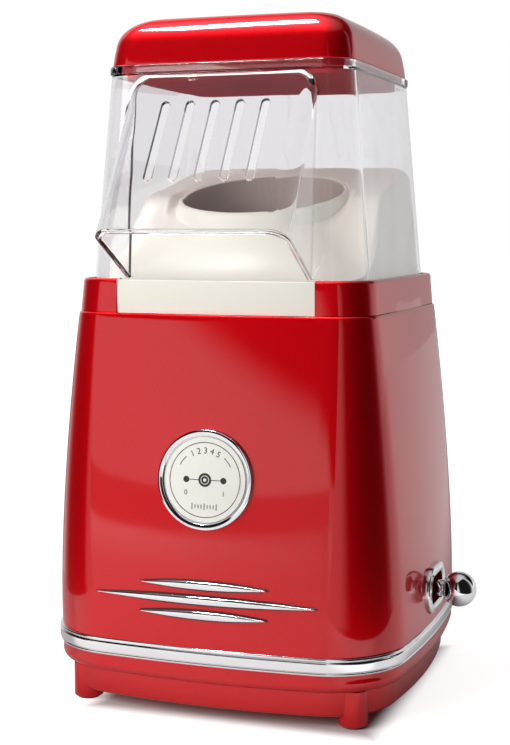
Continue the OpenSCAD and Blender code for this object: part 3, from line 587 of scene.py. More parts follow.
def ivory():
    """Satin ivory moulding with a faint mottle, and a painted shade inside the mouth."""
    r = recipe("ivory_plastic")
    mottle = r.noise(28.0, 3.0)
    spot = r.add("ShaderNodeMapping", inputs={
        "Vector": r.place(), "Location": (-AXIS.x, -AXIS.y, 0),
        "Scale": (1, 1 / math.cos(TILT), 0),
    })
    reach = r.add("ShaderNodeVectorMath", {"operation": "LENGTH"}, {0: spot}, output="Value")
    # Painted shade: the neck inside the mouth's rim is coloured dark brown-grey in place of the
    # shadow down the mouth.
    mouth_shade = 1 - r.step(reach, (MOUTH_R + 0.1) * MM, (MOUTH_R + 0.8) * MM)
    fresh, painted_shade = r.blend(mottle, tint("ivory", 0.95), tint("ivory")), (0.38, 0.30, 0.27, 1)
    r.surface({
        "Base Color": r.blend(mouth_shade, fresh, painted_shade),
        "Roughness": 0.30 + mottle * 0.14,
        "Specular IOR Level": 0.2,
        "Normal": r.bump(r.noise(900.0, 2.0), 0.00002, 0.4),
    })


def clear():
    """Clear moulded plastic; shadow and matt-bounced rays pass it unbent, so its shadow is pale."""
    r = recipe("clear_plastic")
    haze = r.noise(30.0, 2.0)
    glass = r.surface({
        "Base Color": r.blend(haze, tint("clear", 0.99), tint("clear")),
        "Roughness": 0.012 + haze * 0.012,
        "Transmission Weight": 1.0,
        "IOR": 1.49,
        "Normal": r.bump(r.noise(22.0, 0.5), 0.0009, 0.5),
    }, output=False)
    unbent = r.light_path("Is Shadow Ray") + r.light_path("Is Diffuse Ray")
    see_through = r.add("ShaderNodeBsdfTransparent", inputs={"Color": (0.95, 0.95, 0.955, 1)})
    r.out(r.add("ShaderNodeMixShader", inputs={0: unbent, 1: glass, 2: see_through}))


def dial_card():
    r = recipe("dial_plate")
    fibre = r.noise(700.0, 3.0)
    r.surface({
        "Base Color": r.blend(fibre, tint("dial", 0.97), tint("dial")),
        "Roughness": 0.35 + fibre * 0.1,
        "Coat Weight": 0.3,
    })


def ink():
    r = recipe("ink_black")
    speckle = r.noise(1200.0, 2.0)
    r.surface({
        "Base Color": r.blend(speckle, tint("ink"), (0.035, 0.033, 0.032, 1)),
        "Roughness": 0.4 + speckle * 0.1,
    })


def all_finishes():
    paint_red()
    satin_red()
    chrome()
    ivory()
    clear()
    dial_card()
    ink()
    plate("black_plastic", (0.022, 0.022, 0.024), 0.42, metal=0.0, scale=40.0, bump=0.00003)
    plate("rubber_black", (0.018, 0.018, 0.018), 0.75, metal=0.0, scale=300.0, bump=0.00005)
    plate("steel_plain", (0.60, 0.60, 0.61), 0.30, scale=50.0, grain=(1, 1, 6))
    # The chamber's aluminium is coloured far darker than bare metal: a painted shade for the
    # chamber down the mouth.
    plate("chamber_aluminium", (0.26, 0.225, 0.21), 0.48, scale=40.0, grain=(1, 1, 14))
    plate("copper_winding", (0.66, 0.30, 0.14), 0.35, scale=120.0, grain=(1, 1, 10), bump=0.00004)
    plate("bronze", (0.55, 0.38, 0.18), 0.45, scale=200.0, bump=0.00003)
    plate("heater_wire", (0.30, 0.25, 0.22), 0.5, scale=260.0)
    plate("mica_board", (0.62, 0.54, 0.38), 0.55, metal=0.0, scale=160.0, bump=0.00004)
    plate("magnet_ferrite", (0.06, 0.06, 0.065), 0.6, metal=0.0, scale=180.0, bump=0.00004)
    plate("board_green", (0.03, 0.14, 0.05), 0.35, metal=0.0, scale=90.0)


# ---------------------------------------------------------------- tower
WALL = 2.7
NOTCH_HALF = 51.05
SHOULDER_EDGE = 3.2
COLLAR_CORNER = 18
COLLAR_LEAN = 1.2 / 17
LEDGE_Z = 205
LEDGE_T = 2.5
LEDGE_HALF = 66
LEDGE_CORNER = 34
FOOT = (70, 73)
POST = 45
GLAND_Z = 50
PLATE_LONG = 38
PLATE_WIDE = 24
BRACKET_IN = 12


def on_back():
    """Stands a shape made about Z at the cord gland, facing back."""
    reach = DEPTH_RATIO * shell_half(GLAND_Z + 9) + 2.2
    return Matrix.Translation((0, reach, GLAND_Z)) @ Matrix.Rotation(-math.pi / 2, 4, "X")


def shell_ring(z, inset):
    """Outline of the swept wall at a height, inset from its outer face."""
    half = shell_half(min(z, size("shoulder_z")))
    return ring(z, half - inset, shell_corner(z) - inset, shell_bow(z))


def collar_ring(z, inset):
    half = size("collar_half") + COLLAR_LEAN * (size("collar_z") - z)
    return ring(z, half - inset, COLLAR_CORNER - inset, 1.0)


def housing():
    """The red tower: swept wall, shoulder, collar, inner ledge, screw bosses and its openings."""
    top, shoulder = size("collar_z"), size("shoulder_z")
    swept = shoulder - SHOULDER_EDGE
    heights = [BAND_TOP + (swept - BAND_TOP) * i / 24 for i in range(25)]
    edge = rounded_path([(0, swept, 0), (0, shoulder, 1.3), (1.35, shoulder + 0.3, 0.4)], 4)[1:]
    lip = rounded_path([(0, top - 5, 0), (0, top, 1.7), (WALL, top, 0.7), (WALL, top - 2, 0)])
    under = LEDGE_Z - LEDGE_T
    rings = [shell_ring(z, 0) for z in heights] + [shell_ring(z, t) for t, z in edge]
    rings += [collar_ring(shoulder + 0.5, 0), collar_ring(shoulder + 6, 0)]
    rings += [collar_ring(z, t) for t, z in lip] + [collar_ring(LEDGE_Z, WALL)]
    rings += [ring(z, LEDGE_HALF, LEDGE_CORNER, 0) for z in (LEDGE_Z, under)]
    rings.append(ring(under, size("shoulder_half") - WALL - 1.4, COLLAR_CORNER - WALL, 1.0))
    rings += [shell_ring(z, WALL) for z in reversed(heights)]
    shell = loft(rings, wall=True)
    bracket = on_side(side_x() - BRACKET_IN)
    bosses = [rod(4.8, 24, 60, x, y) for x, y in four(*FOOT)]
    bosses += [moved(rod(4.2, 0, 10.8, side * 23), bracket) for side in (-1, 1)]
    shell = carve(shell, joined(*bosses), "UNION")
    # Screw holes, the front notch, the seat of the lever's plate and the seat of the cord gland
    seats = [rod(1.6, 23, 47, x, y, 24) for x, y in four(*FOOT)]
    seats.append(block((-NOTCH_HALF, -100, shoulder - 0.2), (NOTCH_HALF, -65.5, 240)))
    plate_seat = prism(pill(PLATE_LONG + GAP, PLATE_WIDE + GAP), 0, 8)
    seats.append(moved(plate_seat, on_side(side_x() - 0.8)))
    seats.append(moved(prism(section(9.3, 3, 0), 0, 9), on_back()))
    shell = carve(shell, joined(*seats))
    # The lever's slot, the gland's opening and the dial's seat
    openings = [moved(prism(pill(30, 15), 0, 20), bracket)]
    openings.append(moved(prism(section(6.6, 1.5, 0), -12, 8), on_back()))
    openings.append(moved(rod(size("dial_r") + GAP / 2, -1.1, 5), on_front(size("dial_z"))))
    shell = carve(shell, joined(*openings))
    return piece(shell, "housing", "base", "red_plastic", ["body_shell"])


# ---------------------------------------------------------------- base
TRAY_LOW = 6.0
TRAY_WALL = 2.5
ROUND_Z = 18.7
ROUND_HIGH = 6.3
ROUND_STEPS = 10
VENT_RADII = (24, 33, 42)
VENTS_ROUND = 12


def tray():
    """The red base: plinth, quarter-round skirt, floor with vents, feet and inner columns."""
    plinth, skirt = size("plinth_half"), size("skirt_half")
    corner, skirt_corner = 31, 36
    bow, skirt_bow = 4.0, 2.7
    foot_edge = rounded_path([(4.0, TRAY_LOW, 0), (0.9, TRAY_LOW, 1.6), (0.0, ROUND_Z - 0.3, 0)], 5)
    outer = [ring(z, plinth - t, corner - t, bow) for t, z in foot_edge]
    for i in range(ROUND_STEPS + 1):
        angle = math.pi / 2 * i / ROUND_STEPS
        k = 1 - math.cos(angle)
        half = plinth + 0.3 + (skirt - plinth - 0.3) * math.sin(angle)
        z = ROUND_Z + ROUND_HIGH * k
        outer.append(ring(z, half, mix(corner, skirt_corner, k), mix(bow, skirt_bow, k)))
    outer.append(ring(BAND_Z, skirt, skirt_corner, skirt_bow))
    inner_skirt = (skirt - TRAY_WALL, skirt_corner - TRAY_WALL, skirt_bow)
    inner = [ring(z, *inner_skirt) for z in (BAND_Z, ROUND_Z + ROUND_HIGH)]
    inner.append(ring(ROUND_Z - 1, plinth - TRAY_WALL, corner - TRAY_WALL, bow))
    inner.append(ring(TRAY_LOW + 4.5, plinth - 3.6, corner - 3, bow))
    base = loft(outer + inner)
    column = rounded_path([(0, 0.8, 0), (7.4, 0.8, 1.0), (7.4, 18.4, 0), (0, 18.4, 0)])
    columns = [moved(lathe(column, 48), Matrix.Translation((x, y, 0))) for x, y in four(*FOOT)]
    base = carve(base, joined(*columns), "UNION")
    posts = [rod(6.5, 9, 24, x, y) for x, y in four(*FOOT)]
    posts += [rod(4.5, 9, 82, x, y) for x, y in four(POST, POST)]
    base = carve(base, joined(*posts), "UNION")
    tools = [rod(4.6, -1, 16, x, y) for x, y in four(*FOOT)]
    for r in VENT_RADII:
        for k in range(VENTS_ROUND):
            turn = Matrix.Rotation(math.tau * (k + 0.5) / VENTS_ROUND, 4, "Z")
            vent = block((-2.5, -r * 0.15, 4), (2.5, r * 0.15, 14))
            tools.append(moved(vent, turn @ Matrix.Translation((r, 0, 0))))
    base = carve(base, joined(*tools))
    return piece(base, "base_shell", "base", "red_plastic", ["base_tray"])


def band():
    """The chrome band: a crowned face between two fine beads."""
    foot, top = BAND_Z, BAND_TOP
    profile = rounded_path([
        (4.6, foot, 0), (0.7, foot, 0.35), (0.3, foot + 0.9, 0.35), (0.75, foot + 1.35, 0.2),
        (0.05, foot + 1.9, 0.9), (0.0, top - 2.3, 0.9), (0.75, top - 1.6, 0.2),
        (0.2, top - 1.1, 0.4), (0.35, top, 0.45), (4.6, top, 0),
    ], 4)
    rings = [ring(z, size("band_half") - t, 36 - t, 2.6) for t, z in profile]
    return piece(loft(rings, wall=True), "trim_band", "base", "chrome_trim", ["chrome_band"])


# ---------------------------------------------------------------- cap
CAP_BOW = 0.8
CAP_CORNER = 13
CAP_LEAN = 1.2
CAP_ROUND_LOW = 7.5
CAP_ROUND_DEEP = 18.0


def cap_ring(z, inset, corner):
    radius = max(corner - 0.15 * inset, 4)
    return ring(z, size("cap_half") - inset, radius, CAP_BOW)


def cap():
    """The red cap: sides that lean in and run round into a barely crowned top."""
    low, top = CAP_Z, CAP_TOP
    start = low + CAP_ROUND_LOW
    outside = rounded_path([(0.9, low, 0), (0.0, low + 0.1, 0.4), (0.55, low + 5, 0)], 6)
    for i in range(21):
        q = math.radians(9 + 81 * i / 20)
        inset = CAP_LEAN + CAP_ROUND_DEEP * (1 - math.cos(q))
        outside.append((inset, start + (top - start) * math.sin(q)))
    outside.append((32, top))
    inside = [
        (24, top - 2.7), (15, top - 4), (10, top - 6.5), (7, top - 10), (3.6, low + 7), (2.2, low),
    ]
    rings = [ring(top - 2.6, 2, 1, 0)]
    rings += [cap_ring(z, t, CAP_CORNER - 2) for t, z in inside]
    rings += [cap_ring(z, t, CAP_CORNER) for t, z in outside]
    rings.append(ring(top, 2, 1, 0))
    return piece(loft(rings), "cap_dome", "cap", "red_plastic", ["cap_shell"])


# ---------------------------------------------------------------- clear hood
HOOD_WALL = 1.7
HOOD_BOW = 0.6
SKIRT_Z = 208.4
CHUTE_TOP = 313
CHUTE_REACH = 112
CHUTE_TIP = 236.6
CHUTE_ROUND = 10
CHUTE_ROUND_Z = CHUTE_TOP - CHUTE_ROUND
CORNER_ARC = 12
LIP_R = 1.2
LIP_INSET = 1.35
SLOT_Z = 279.6
SLOT_PITCH = 12.75
SLOT_LONG = 46
SLOT_WIDE = 4.4


def hood_ring(z, inset):
    radius = 18 - 4 * (z - size("collar_z")) / 104
    return ring(z, hood_half(z) - inset, radius - inset, HOOD_BOW)


def panel_slope():
    return (CHUTE_REACH - DEPTH_RATIO * hood_half(CHUTE_TOP)) / (CHUTE_TOP - CHUTE_TIP)


def panel_y(z):
    return -CHUTE_REACH + (z - CHUTE_TIP) * panel_slope()


def chute_ring(z, inset, back):
    """Level outline of the chute's wedge, inset from its face and run back into the hood."""
    near_top = max(z + inset - CHUTE_ROUND_Z, 0)
    narrow = CHUTE_ROUND - math.sqrt(max(CHUTE_ROUND**2 - near_top**2, 0))
    half = size("chute_half") - inset - narrow
    front = panel_y(z) + inset * 1.25
    rear = -DEPTH_RATIO * hood_half(z) + back
    r = min(CHUTE_ROUND - inset, max((rear - front) * 0.5, GAP))
    points = []
    for side, start in ((-1, 180), (1, 270)):
        for i in range(CORNER_ARC + 1):
            q = math.radians(start + 90 * i / CORNER_ARC)
            x = side * (half - r) + r * math.cos(q)
            points.append(Vector((x, front + r + r * math.sin(q), z)))
    return points + [Vector((half, rear, z)), Vector((-half, rear, z))]


def chute_loft(straight, angles, lowered, inset, back):
    """The wedge through straight heights and on round its top edge, lowered for an inner face."""
    round_z = CHUTE_ROUND_Z - lowered
    over = [round_z + CHUTE_ROUND * math.sin(math.radians(q)) for q in angles]
    return loft([chute_ring(z, inset, back) for z in [*straight, round_z, *over]])


def mouth_lip(foot_y, foot_z, slope):
    """The round edge that runs up one side of the mouth, across and down the other."""
    arcs = chute_ring(CHUTE_TIP, LIP_INSET, 0)[:-2]
    ends = [Vector((side * arcs[-1].x, 2 - foot_y, 0)) for side in (-1, 1)]
    path = [ends[0], *arcs, ends[1]]
    for p in path:
        p.z = foot_z + 0.9 + (-p.y - foot_y) * math.tan(slope)
    turns = [math.radians(30 * k) for k in range(12)]
    rings = []
    for i, p in enumerate(path):
        along = (path[min(i + 1, len(path) - 1)] - path[max(i - 1, 0)]).normalized()
        across = along.cross(Vector((0, math.sin(slope), math.cos(slope)))).normalized()
        up = across.cross(along)
        rings.append([p + (across * math.cos(q) + up * math.sin(q)) * LIP_R for q in turns])
    return loft(rings)


def hood():
    """The clear hood: tapering walls, rim band, neck, and the slotted chute with its cut mouth."""
    collar, rim_z = size("collar_z"), RIM_Z
    bends = (230, 245, 262, 280, 297)
    rings = [hood_ring(z, 0) for z in (SKIRT_Z, collar, *bends, rim_z - 3.8)]
    rim = rounded_path([
        (0.0, rim_z - 3.8, 0), (-0.5, rim_z - 3.5, 0.25), (-0.5, rim_z, 0.45), (4.5, rim_z, 0.5),
        (4.5, rim_z + 4.8, 0.5), (6.1, rim_z + 4.8, 0.5), (6.1, rim_z - 3, 1.0),
    ], 4)[1:]
    for t, z in rim:
        bow = HOOD_BOW if t < 4 else 0.3
        rings.append(ring(z, size("hood_top") - t, 13.5 - max(t, 0) * 0.1, bow))
    rings += [hood_ring(z, HOOD_WALL) for z in (rim_z - 4.8, *reversed(bends), SKIRT_Z)]
    shell = loft(rings, wall=True)
    wedge = chute_loft([205, 236, 262, 285, 297], (15, 30, 45, 60, 74), 0, 0, 1)
    shell = carve(shell, wedge, "UNION")
    hollow = chute_loft([203, 236, 262, 285, 295], (18, 36, 54, 72), HOOD_WALL, HOOD_WALL, 5)
    shell = carve(shell, hollow)
    foot_y = DEPTH_RATIO * hood_half(collar)
    mouth = math.atan((CHUTE_TIP - collar) / (CHUTE_REACH - foot_y))
    cut = Matrix.Translation((0, -foot_y, collar + GAP)) @ Matrix.Rotation(-mouth, 4, "X")
    shell = carve(shell, moved(block((-60, -80, -60), (60, 0, 0)), cut))
    shell = carve(shell, mouth_lip(foot_y, collar, mouth), "UNION")
    tools = [block((-51.4, -100, 190), (51.4, -60, collar + 0.2))]
    tilt = Matrix.Rotation(math.pi / 2 - math.atan(panel_slope()), 4, "X")
    upright = tilt @ Matrix.Rotation(math.pi / 2, 4, "Z")
    for i in range(5):
        place = Matrix.Translation(((i - 2) * SLOT_PITCH, panel_y(SLOT_Z), SLOT_Z))
        tools.append(moved(prism(pill(SLOT_LONG, SLOT_WIDE), -6, 6), place @ upright))
    shell = carve(shell, joined(*tools))
    return piece(
        shell, "hood_shell", "hood", "clear_plastic", ["clear_hood"], sharp=math.radians(24)
    )


# ---------------------------------------------------------------- ivory funnel
RIM_DROP = 7.5
RIM_WIDE = 3.2
NECK_Z = 231
FUNNEL_T = 2.2
FUNNEL_BASE = 208
FUNNEL_CORNER = 15
FUNNEL_BOW = 0.6
FUNNEL_STEPS = (
    0.02, 0.05, 0.1, 0.16, 0.22, 0.29, 0.36, 0.43, 0.5, 0.57,
    0.64, 0.71, 0.78, 0.84, 0.88, 0.91, 0.94, 0.97, 1,
)
APRON_HALF = 50.8
APRON_TOP = 213


def deck_z(y):
    return MOUTH_Z + y * math.tan(TILT)


def funnel_half(z):
    return hood_half(z) - 3


def skin(p, t, drop=0.0, inward=0.0):
    """A point between the mouth's rim (0) and the funnel's wall (1), sinking to the ramp ahead."""
    x, y = p
    reach = math.hypot(x, y)
    cos, sin = x / reach, y / reach
    ramp_share = smooth((-sin - 0.05) / 0.7)
    rim_share = smooth((-sin + 0.35) / 0.9)
    rim_r = MOUTH_R + RIM_WIDE
    rim = (rim_r * cos, rim_r * sin * math.cos(TILT))
    lift = mix(funnel_half(266) / funnel_half(FUNNEL_BASE), 1, ramp_share)
    px = mix(rim[0], x * lift - inward * cos, t)
    py = mix(rim[1], y * lift - inward * sin, t)
    foot = deck_z(rim[1]) - RIM_DROP * rim_share
    ramp = mix(foot, APRON_TOP, 1 - (1 - t) ** 1.7)
    edge = max(t - 0.86, 0) / 0.14
    deck = mix(foot, deck_z(py), smooth(t / 0.3)) - 5 * edge * edge
    return Vector((px, py, mix(deck, ramp, ramp_share) - drop))


def neck(p, r, z=None, dz=0.0):
    """A point of the mouth's round neck, on the tilted rim or at a set height."""
    x, y = p
    reach = math.hypot(x, y)
    ny = r * y / reach * math.cos(TILT)
    return Vector((r * x / reach, ny, deck_z(ny) + dz if z is None else z))


def apron_block():
    """The bowed front apron, hollow behind, with a soft upper edge."""
    face = GAP - DEPTH_RATIO * (size("collar_half") + 0.6)
    low = size("shoulder_z") + 0.1
    across = [APRON_HALF * (i / 12 - 1) for i in range(25)]
    front = [(x, face - (1 - (x / 58) ** 2)) for x in across]
    apron = prism(front + [(APRON_HALF, -67.5), (-APRON_HALF, -67.5)], low, APRON_TOP)
    long_edges = [
        e for e in apron.edges
        if all(abs(v.co.z - APRON_TOP) < SEAM and v.co.y < -70 for v in e.verts)
    ]
    bmesh.ops.bevel(
        apron, geom=long_edges, offset=0.8, offset_type="OFFSET", segments=3, profile=0.5,
        affect="EDGES", material=-1,
    )
    inner = APRON_HALF - 3
    return carve(apron, block((-inner, -73.6, low - 1), (inner, -63.6, APRON_TOP - 2.6)))


def funnel():
    """The ivory funnel: round mouth with a rolled rim, tilted deck, front ramp and apron."""
    half = funnel_half(FUNNEL_BASE)
    outline = section(half, FUNNEL_CORNER, FUNNEL_BOW)
    inner = section(half - FUNNEL_T, FUNNEL_CORNER - FUNNEL_T, FUNNEL_BOW)
    rim = rounded_path(
        [(0, -4, 0), (0, 0.1, 1.0), (1.6, 0.1, 0.8), (2.6, -0.9, 0.5), (3.4, -1.6, 0)], 4
    )
    rings = [[neck(p, MOUTH_R, NECK_Z) for p in outline]]
    rings += [[neck(p, MOUTH_R + t, dz=dz) for p in outline] for t, dz in rim[:-1]]
    rings += [[skin(p, t) for p in outline] for t in FUNNEL_STEPS]
    rings += [[Vector((x, y, FUNNEL_BASE)) for x, y in loop] for loop in (outline, inner)]
    for t in (1, 0.9, 0.8, 0.7, 0.55, 0.4, 0.2):
        rings.append([skin(p, t, FUNNEL_T + 0.2, FUNNEL_T) for p in outline])
    rings.append([neck(p, MOUTH_R + 3, skin(p, 0, FUNNEL_T + 0.6).z) for p in outline])
    rings.append([neck(p, MOUTH_R + 3, NECK_Z) for p in outline])
    whole = joined(loft(rings, wall=True), apron_block())
    return piece(whole, "funnel", "base", "ivory_plastic", ["ivory_funnel"])


# ---------------------------------------------------------------- dial
BEZEL_WIDE = 3.5
CARD_T = 0.8
PRINT_T = 0.05
NUMERAL_R = 14.0


def dial():
    """The dial: polished bezel and pale plate."""
    r = size("dial_r")
    place = on_front(size("dial_z"))
    well = r - BEZEL_WIDE
    bezel = lathe(rounded_path([
        (well, -1.0, 0), (r, -1.0, 0.4), (r, 1.6, 0.7), (r - 1.2, 2.1, 0.9),
        (r - 2.7, 1.6, 0.8), (well, 0.4, 0.3), (well, -0.5, 0),
    ], 5), 128)
    backed = joined(bezel, rod(3.1, -7, -0.9), rod(well + 0.2, -1.0, -0.4, steps=96))
    piece(moved(backed, place), "dial_rim", "base", "chrome_trim", ["dial_bezel"])
    edge = well - 0.05
    card = lathe(
        rounded_path([(0, -0.4, 0), (edge, -0.4, 0), (edge, CARD_T, 0.15), (0, CARD_T, 0)]), 128
    )
    piece(moved(card, place), "dial_card", "base", "dial_plate", ["dial_face"])
    dial_marks(place @ Matrix.Translation((0, 0, CARD_T)))


def arc_mark(radius, wide, start, end):
    """A flat printed arc between two angles in degrees; 360 degrees make a closed ring."""
    bm = bmesh.new()
    a = math.radians(start)
    near, far = radius - wide / 2, radius + wide / 2
    corners = [(near, 0), (far, 0), (far, PRINT_T), (near, PRINT_T)]
    verts = [bm.verts.new((k * math.cos(a), k * math.sin(a), z)) for k, z in corners]
    first = bm.faces.new(verts)
    edges = list(first.edges)
    about = {"axis": (0, 0, 1), "cent": (0, 0, 0)}
    if abs(end - start) >= 360:
        bm.faces.remove(first)
        bmesh.ops.spin(
            bm, geom=verts + edges, angle=math.tau, steps=90, use_merge=True, **about
        )
    else:
        steps = max(int(abs(end - start) / 4), 4)
        sweep = math.radians(end - start)
        bmesh.ops.spin(bm, geom=[first] + verts + edges, angle=sweep, steps=steps, **about)
    bmesh.ops.recalc_face_normals(bm, faces=bm.faces)
    return bm


def numeral(word, high, x, y, turn=0.0):
    """A printed number, made from the built-in font."""
    curve = bpy.data.curves.new("numeral", "FONT")
    curve.body = word
    curve.size = high
    curve.align_x = "CENTER"
    curve.align_y = "CENTER"
    curve.extrude = PRINT_T / 2
    text = bpy.data.objects.new("numeral", curve)
    bpy.context.scene.collection.objects.link(text)
    made = text.evaluated_get(bpy.context.evaluated_depsgraph_get()).to_mesh()
    bm = bmesh.new()
    bm.from_mesh(made)
    bpy.data.objects.remove(text)
    bpy.data.curves.remove(curve)
    bmesh.ops.remove_doubles(bm, verts=bm.verts, dist=SEAM)
    turned = Matrix.Rotation(math.radians(turn), 4, "Z")
    return moved(bm, Matrix.Translation((x, y, PRINT_T / 2)) @ turned)


def dial_marks(place):
    """Circle, pointer line with its dots, arcs, numbers and ticks."""
    marks = [arc_mark(18.0, 0.38, 0, 360)]
    marks += [arc_mark(14.6, 0.4, start, start + 20) for start in (132, 28)]
    marks.append(rod(3.3, 0, 0.06))
    marks += [rod(1.55, 0, PRINT_T, x) for x in (-9.5, 9.5)]
    marks += [block((x, -0.17, 0), (x + 5.2, 0.17, PRINT_T)) for x in (-8.4, 3.2)]
    for i in range(5):
        turn = 28 - 14 * i
        q = math.radians(90 + turn)
        x, y = NUMERAL_R * math.cos(q), NUMERAL_R * math.sin(q)
        marks.append(numeral(str(i + 1), 4.2, x, y, turn))
    marks += [numeral("0", 3.4, -9.6, -6.4), numeral("1", 3.4, 9.6, -6.4)]
    for i in range(9):
        high = 1.5 if i % 4 == 0 else 0.9
        x = (i - 4) * 1.55
        marks.append(block((x - 0.2, -12.8 - high, 0), (x + 0.2, -12.8 + high, PRINT_T)))
    piece(moved(joined(*marks), place), "dial_print", "base", "black_plastic", finish="ink_black")
    hub = joined(arc_mark(2.0, 0.3, 0, 360), rod(0.8, 0, PRINT_T))
    over = place @ Matrix.Translation((0, 0, 0.06))
    piece(moved(hub, over), "dial_hub", "base", "dial_plate")


# ---------------------------------------------------------------- badge
BADGE_BARS = [(7.2, 0.58), (0, 1.0), (-7.2, 0.58)]
BADGE_HALF = 57
BAR_STATIONS = 36
BAR_CURVE = 10


def crowned(k, front, crown):
    """The face of a bar across its height: (height, stand-off) from its upper to its lower edge."""
    points = []
    for i in range(BAR_CURVE + 1):
        q = math.pi * i / BAR_CURVE
        side = 1 if q < math.pi / 2 else -1
        height = side * k * abs(math.cos(q)) ** 0.7
        points.append((height, front - crown + crown * math.sin(q)))
    return points


def front_bar(z, long, high, back, front, crown):
    """A pointed bar wrapped on the housing's front, its face crowned."""
    rings = []
    for i in range(BAR_STATIONS + 1):
        t = -math.cos(math.pi * i / BAR_STATIONS)
        k = high * (0.12 + 0.88 * (1 - abs(t) ** 2.2))
        points = [(-k, back), (k, back), *crowned(k, front, crown)]
        x = t * long
        rings.append([Vector((x, front_y(x, z + dz) - out, z + dz)) for dz, out in points])
    return loft(rings)


def badge():
    """Three plated bars, each standing in a dark outline."""
    z = size("badge_z")
    backs, bars = [], []
    for dz, share in BADGE_BARS:
        long = BADGE_HALF * share
        backs.append(front_bar(z + dz, long, 2.6, 0.02, 0.7, 0.15))
        bars.append(front_bar(z + dz, long - 1, 1.9, 0.6, 1.9, 0.8))
    piece(
        joined(*backs), "badge_outline", "base", "black_plastic", ["badge_backing"],
        finish="ink_black",
    )
    piece(joined(*bars), "badge_plating", "base", "chrome_trim", ["badge_bars"])


# ---------------------------------------------------------------- lever
STEM_R = 4.2
STEM_START = 70
BALL_FLAT = 3.2
STEM_IN = 1.6
FERRULE_T = 1.6


def lever():
    """The plated plate round the slot, and the stem, collar and ball that move in it."""
    edge = rounded_path([
        (0.0, -0.75, 0), (0.0, 1.6, 0.9), (3.0, 2.3, 0.9), (4.2, 1.9, 0.5), (4.8, 1.2, 0.3),
        (4.8, -0.75, 0),
    ], 5)
    rings = []
    for t, z in edge:
        outline = pill(PLATE_LONG - 2 * t, PLATE_WIDE - 2 * t)
        rings.append([Vector((x, y, z)) for x, y in outline])
    plate_shape = moved(loft(rings, wall=True), on_side(side_x()))
    piece(plate_shape, "lever_plate", "base", "chrome_trim", ["lever_escutcheon"])
    ball = size("ball_r")
    flat = ball - BALL_FLAT
    end = BALL_X - ball + STEM_IN
    rod_profile = [(0, STEM_START, 0), (STEM_R, STEM_START, 0.4), (STEM_R, end, 0), (0, end, 0)]
    ferrule_profile = [
        (0, end, 0), (STEM_R, end, 0), (6.0, end + 0.3, 0.3), (6.2, end + 1.0, 0.3),
        (5.6, end + FERRULE_T, 0.3), (0, end + FERRULE_T, 0),
    ]
    begin = math.acos(flat / ball)
    arc = [begin + (math.pi - begin) * i / 40 for i in range(40)]
    sphere = [(ball * math.sin(q), BALL_X - ball * math.cos(q)) for q in arc]
    ball_profile = [(0, BALL_X - flat), *sphere, (0, BALL_X + ball)]
    along = Matrix.Translation((0, 0, size("lever_z"))) @ Matrix.Rotation(math.pi / 2, 4, "Y")
    for name, node, shape in (
        ("lever_rod", "lever_stem", lathe(rounded_path(rod_profile), 64)),
        ("lever_ferrule", "lever_collar", lathe(rounded_path(ferrule_profile), 64)),
        ("lever_ball", "ball_knob", lathe(ball_profile, 96)),
    ):
        piece(moved(shape, along), name, "lever", "chrome_trim", [node])


# ---------------------------------------------------------------- inner parts
SATIN = {"cap_plug": "red_satin"}


def dress_frame():
    """Gives every CAD node the finish that the record names for it."""
    for part in frame["record"]["subparts"]:
        node = frame["nodes"][part["node"]]
        finish = bpy.data.materials[SATIN.get(part["node"], part["material_slot"])]
        node.data.materials.clear()
        node.data.materials.append(finish)


# ---------------------------------------------------------------- studio
# Sizes and places here are metres.
WHITE = (1, 1, 1, 1)
CAMERA_PLACE = (0.2403, -0.71524, 0.2383)
CAMERA_PITCH = 5.727
CAMERA_YAW = 19.08
CAMERA_LENS = 69.83
CAMERA_SENSOR = 36
CAMERA_SHIFT = -0.01335
CARD_HIGH = 0.6
CARD_FOOT = 0.03
CARD_LIGHT = 0.8
CARD_LEAN = 0.33
CEILING = (0.35, -0.3, 1)
SHADED_SIDE = (0.8, -0.6, 0)
FLOOR_HALF = 6


def camera():
    lens = bpy.data.cameras.new("view")
    lens.lens = CAMERA_LENS
    lens.sensor_width = CAMERA_SENSOR
    lens.shift_x = CAMERA_SHIFT
    lens.clip_start = 0.01
    thing = bpy.data.objects.new("view", lens)
    thing.location = CAMERA_PLACE
    thing.rotation_euler = (math.radians(90 - CAMERA_PITCH), 0, math.radians(CAMERA_YAW))
    bpy.context.scene.collection.objects.link(thing)
    bpy.context.scene.camera = thing


def soft_box(name, watts, shade, where, aim, wide, high):
    """An area lamp aimed at a point."""
    lamp = bpy.data.lights.new(name, "AREA")
    lamp.shape = "RECTANGLE"
    lamp.size, lamp.size_y = wide, high
    lamp.energy = watts
    lamp.color = shade
    thing = bpy.data.objects.new(name, lamp)
    thing.location = where
    thing.rotation_euler = (Vector(aim) - Vector(where)).to_track_quat("-Z", "Y").to_euler()
    bpy.context.scene.collection.objects.link(thing)
    return thing


def stage_sheet(name, bm, finish):
    mesh = bpy.data.meshes.new(name)
    bm.to_mesh(mesh)
    bm.free()
    mesh.materials.append(bpy.data.materials[finish])
    thing = bpy.data.objects.new(name, mesh)
    bpy.context.scene.collection.objects.link(thing)
    return thing


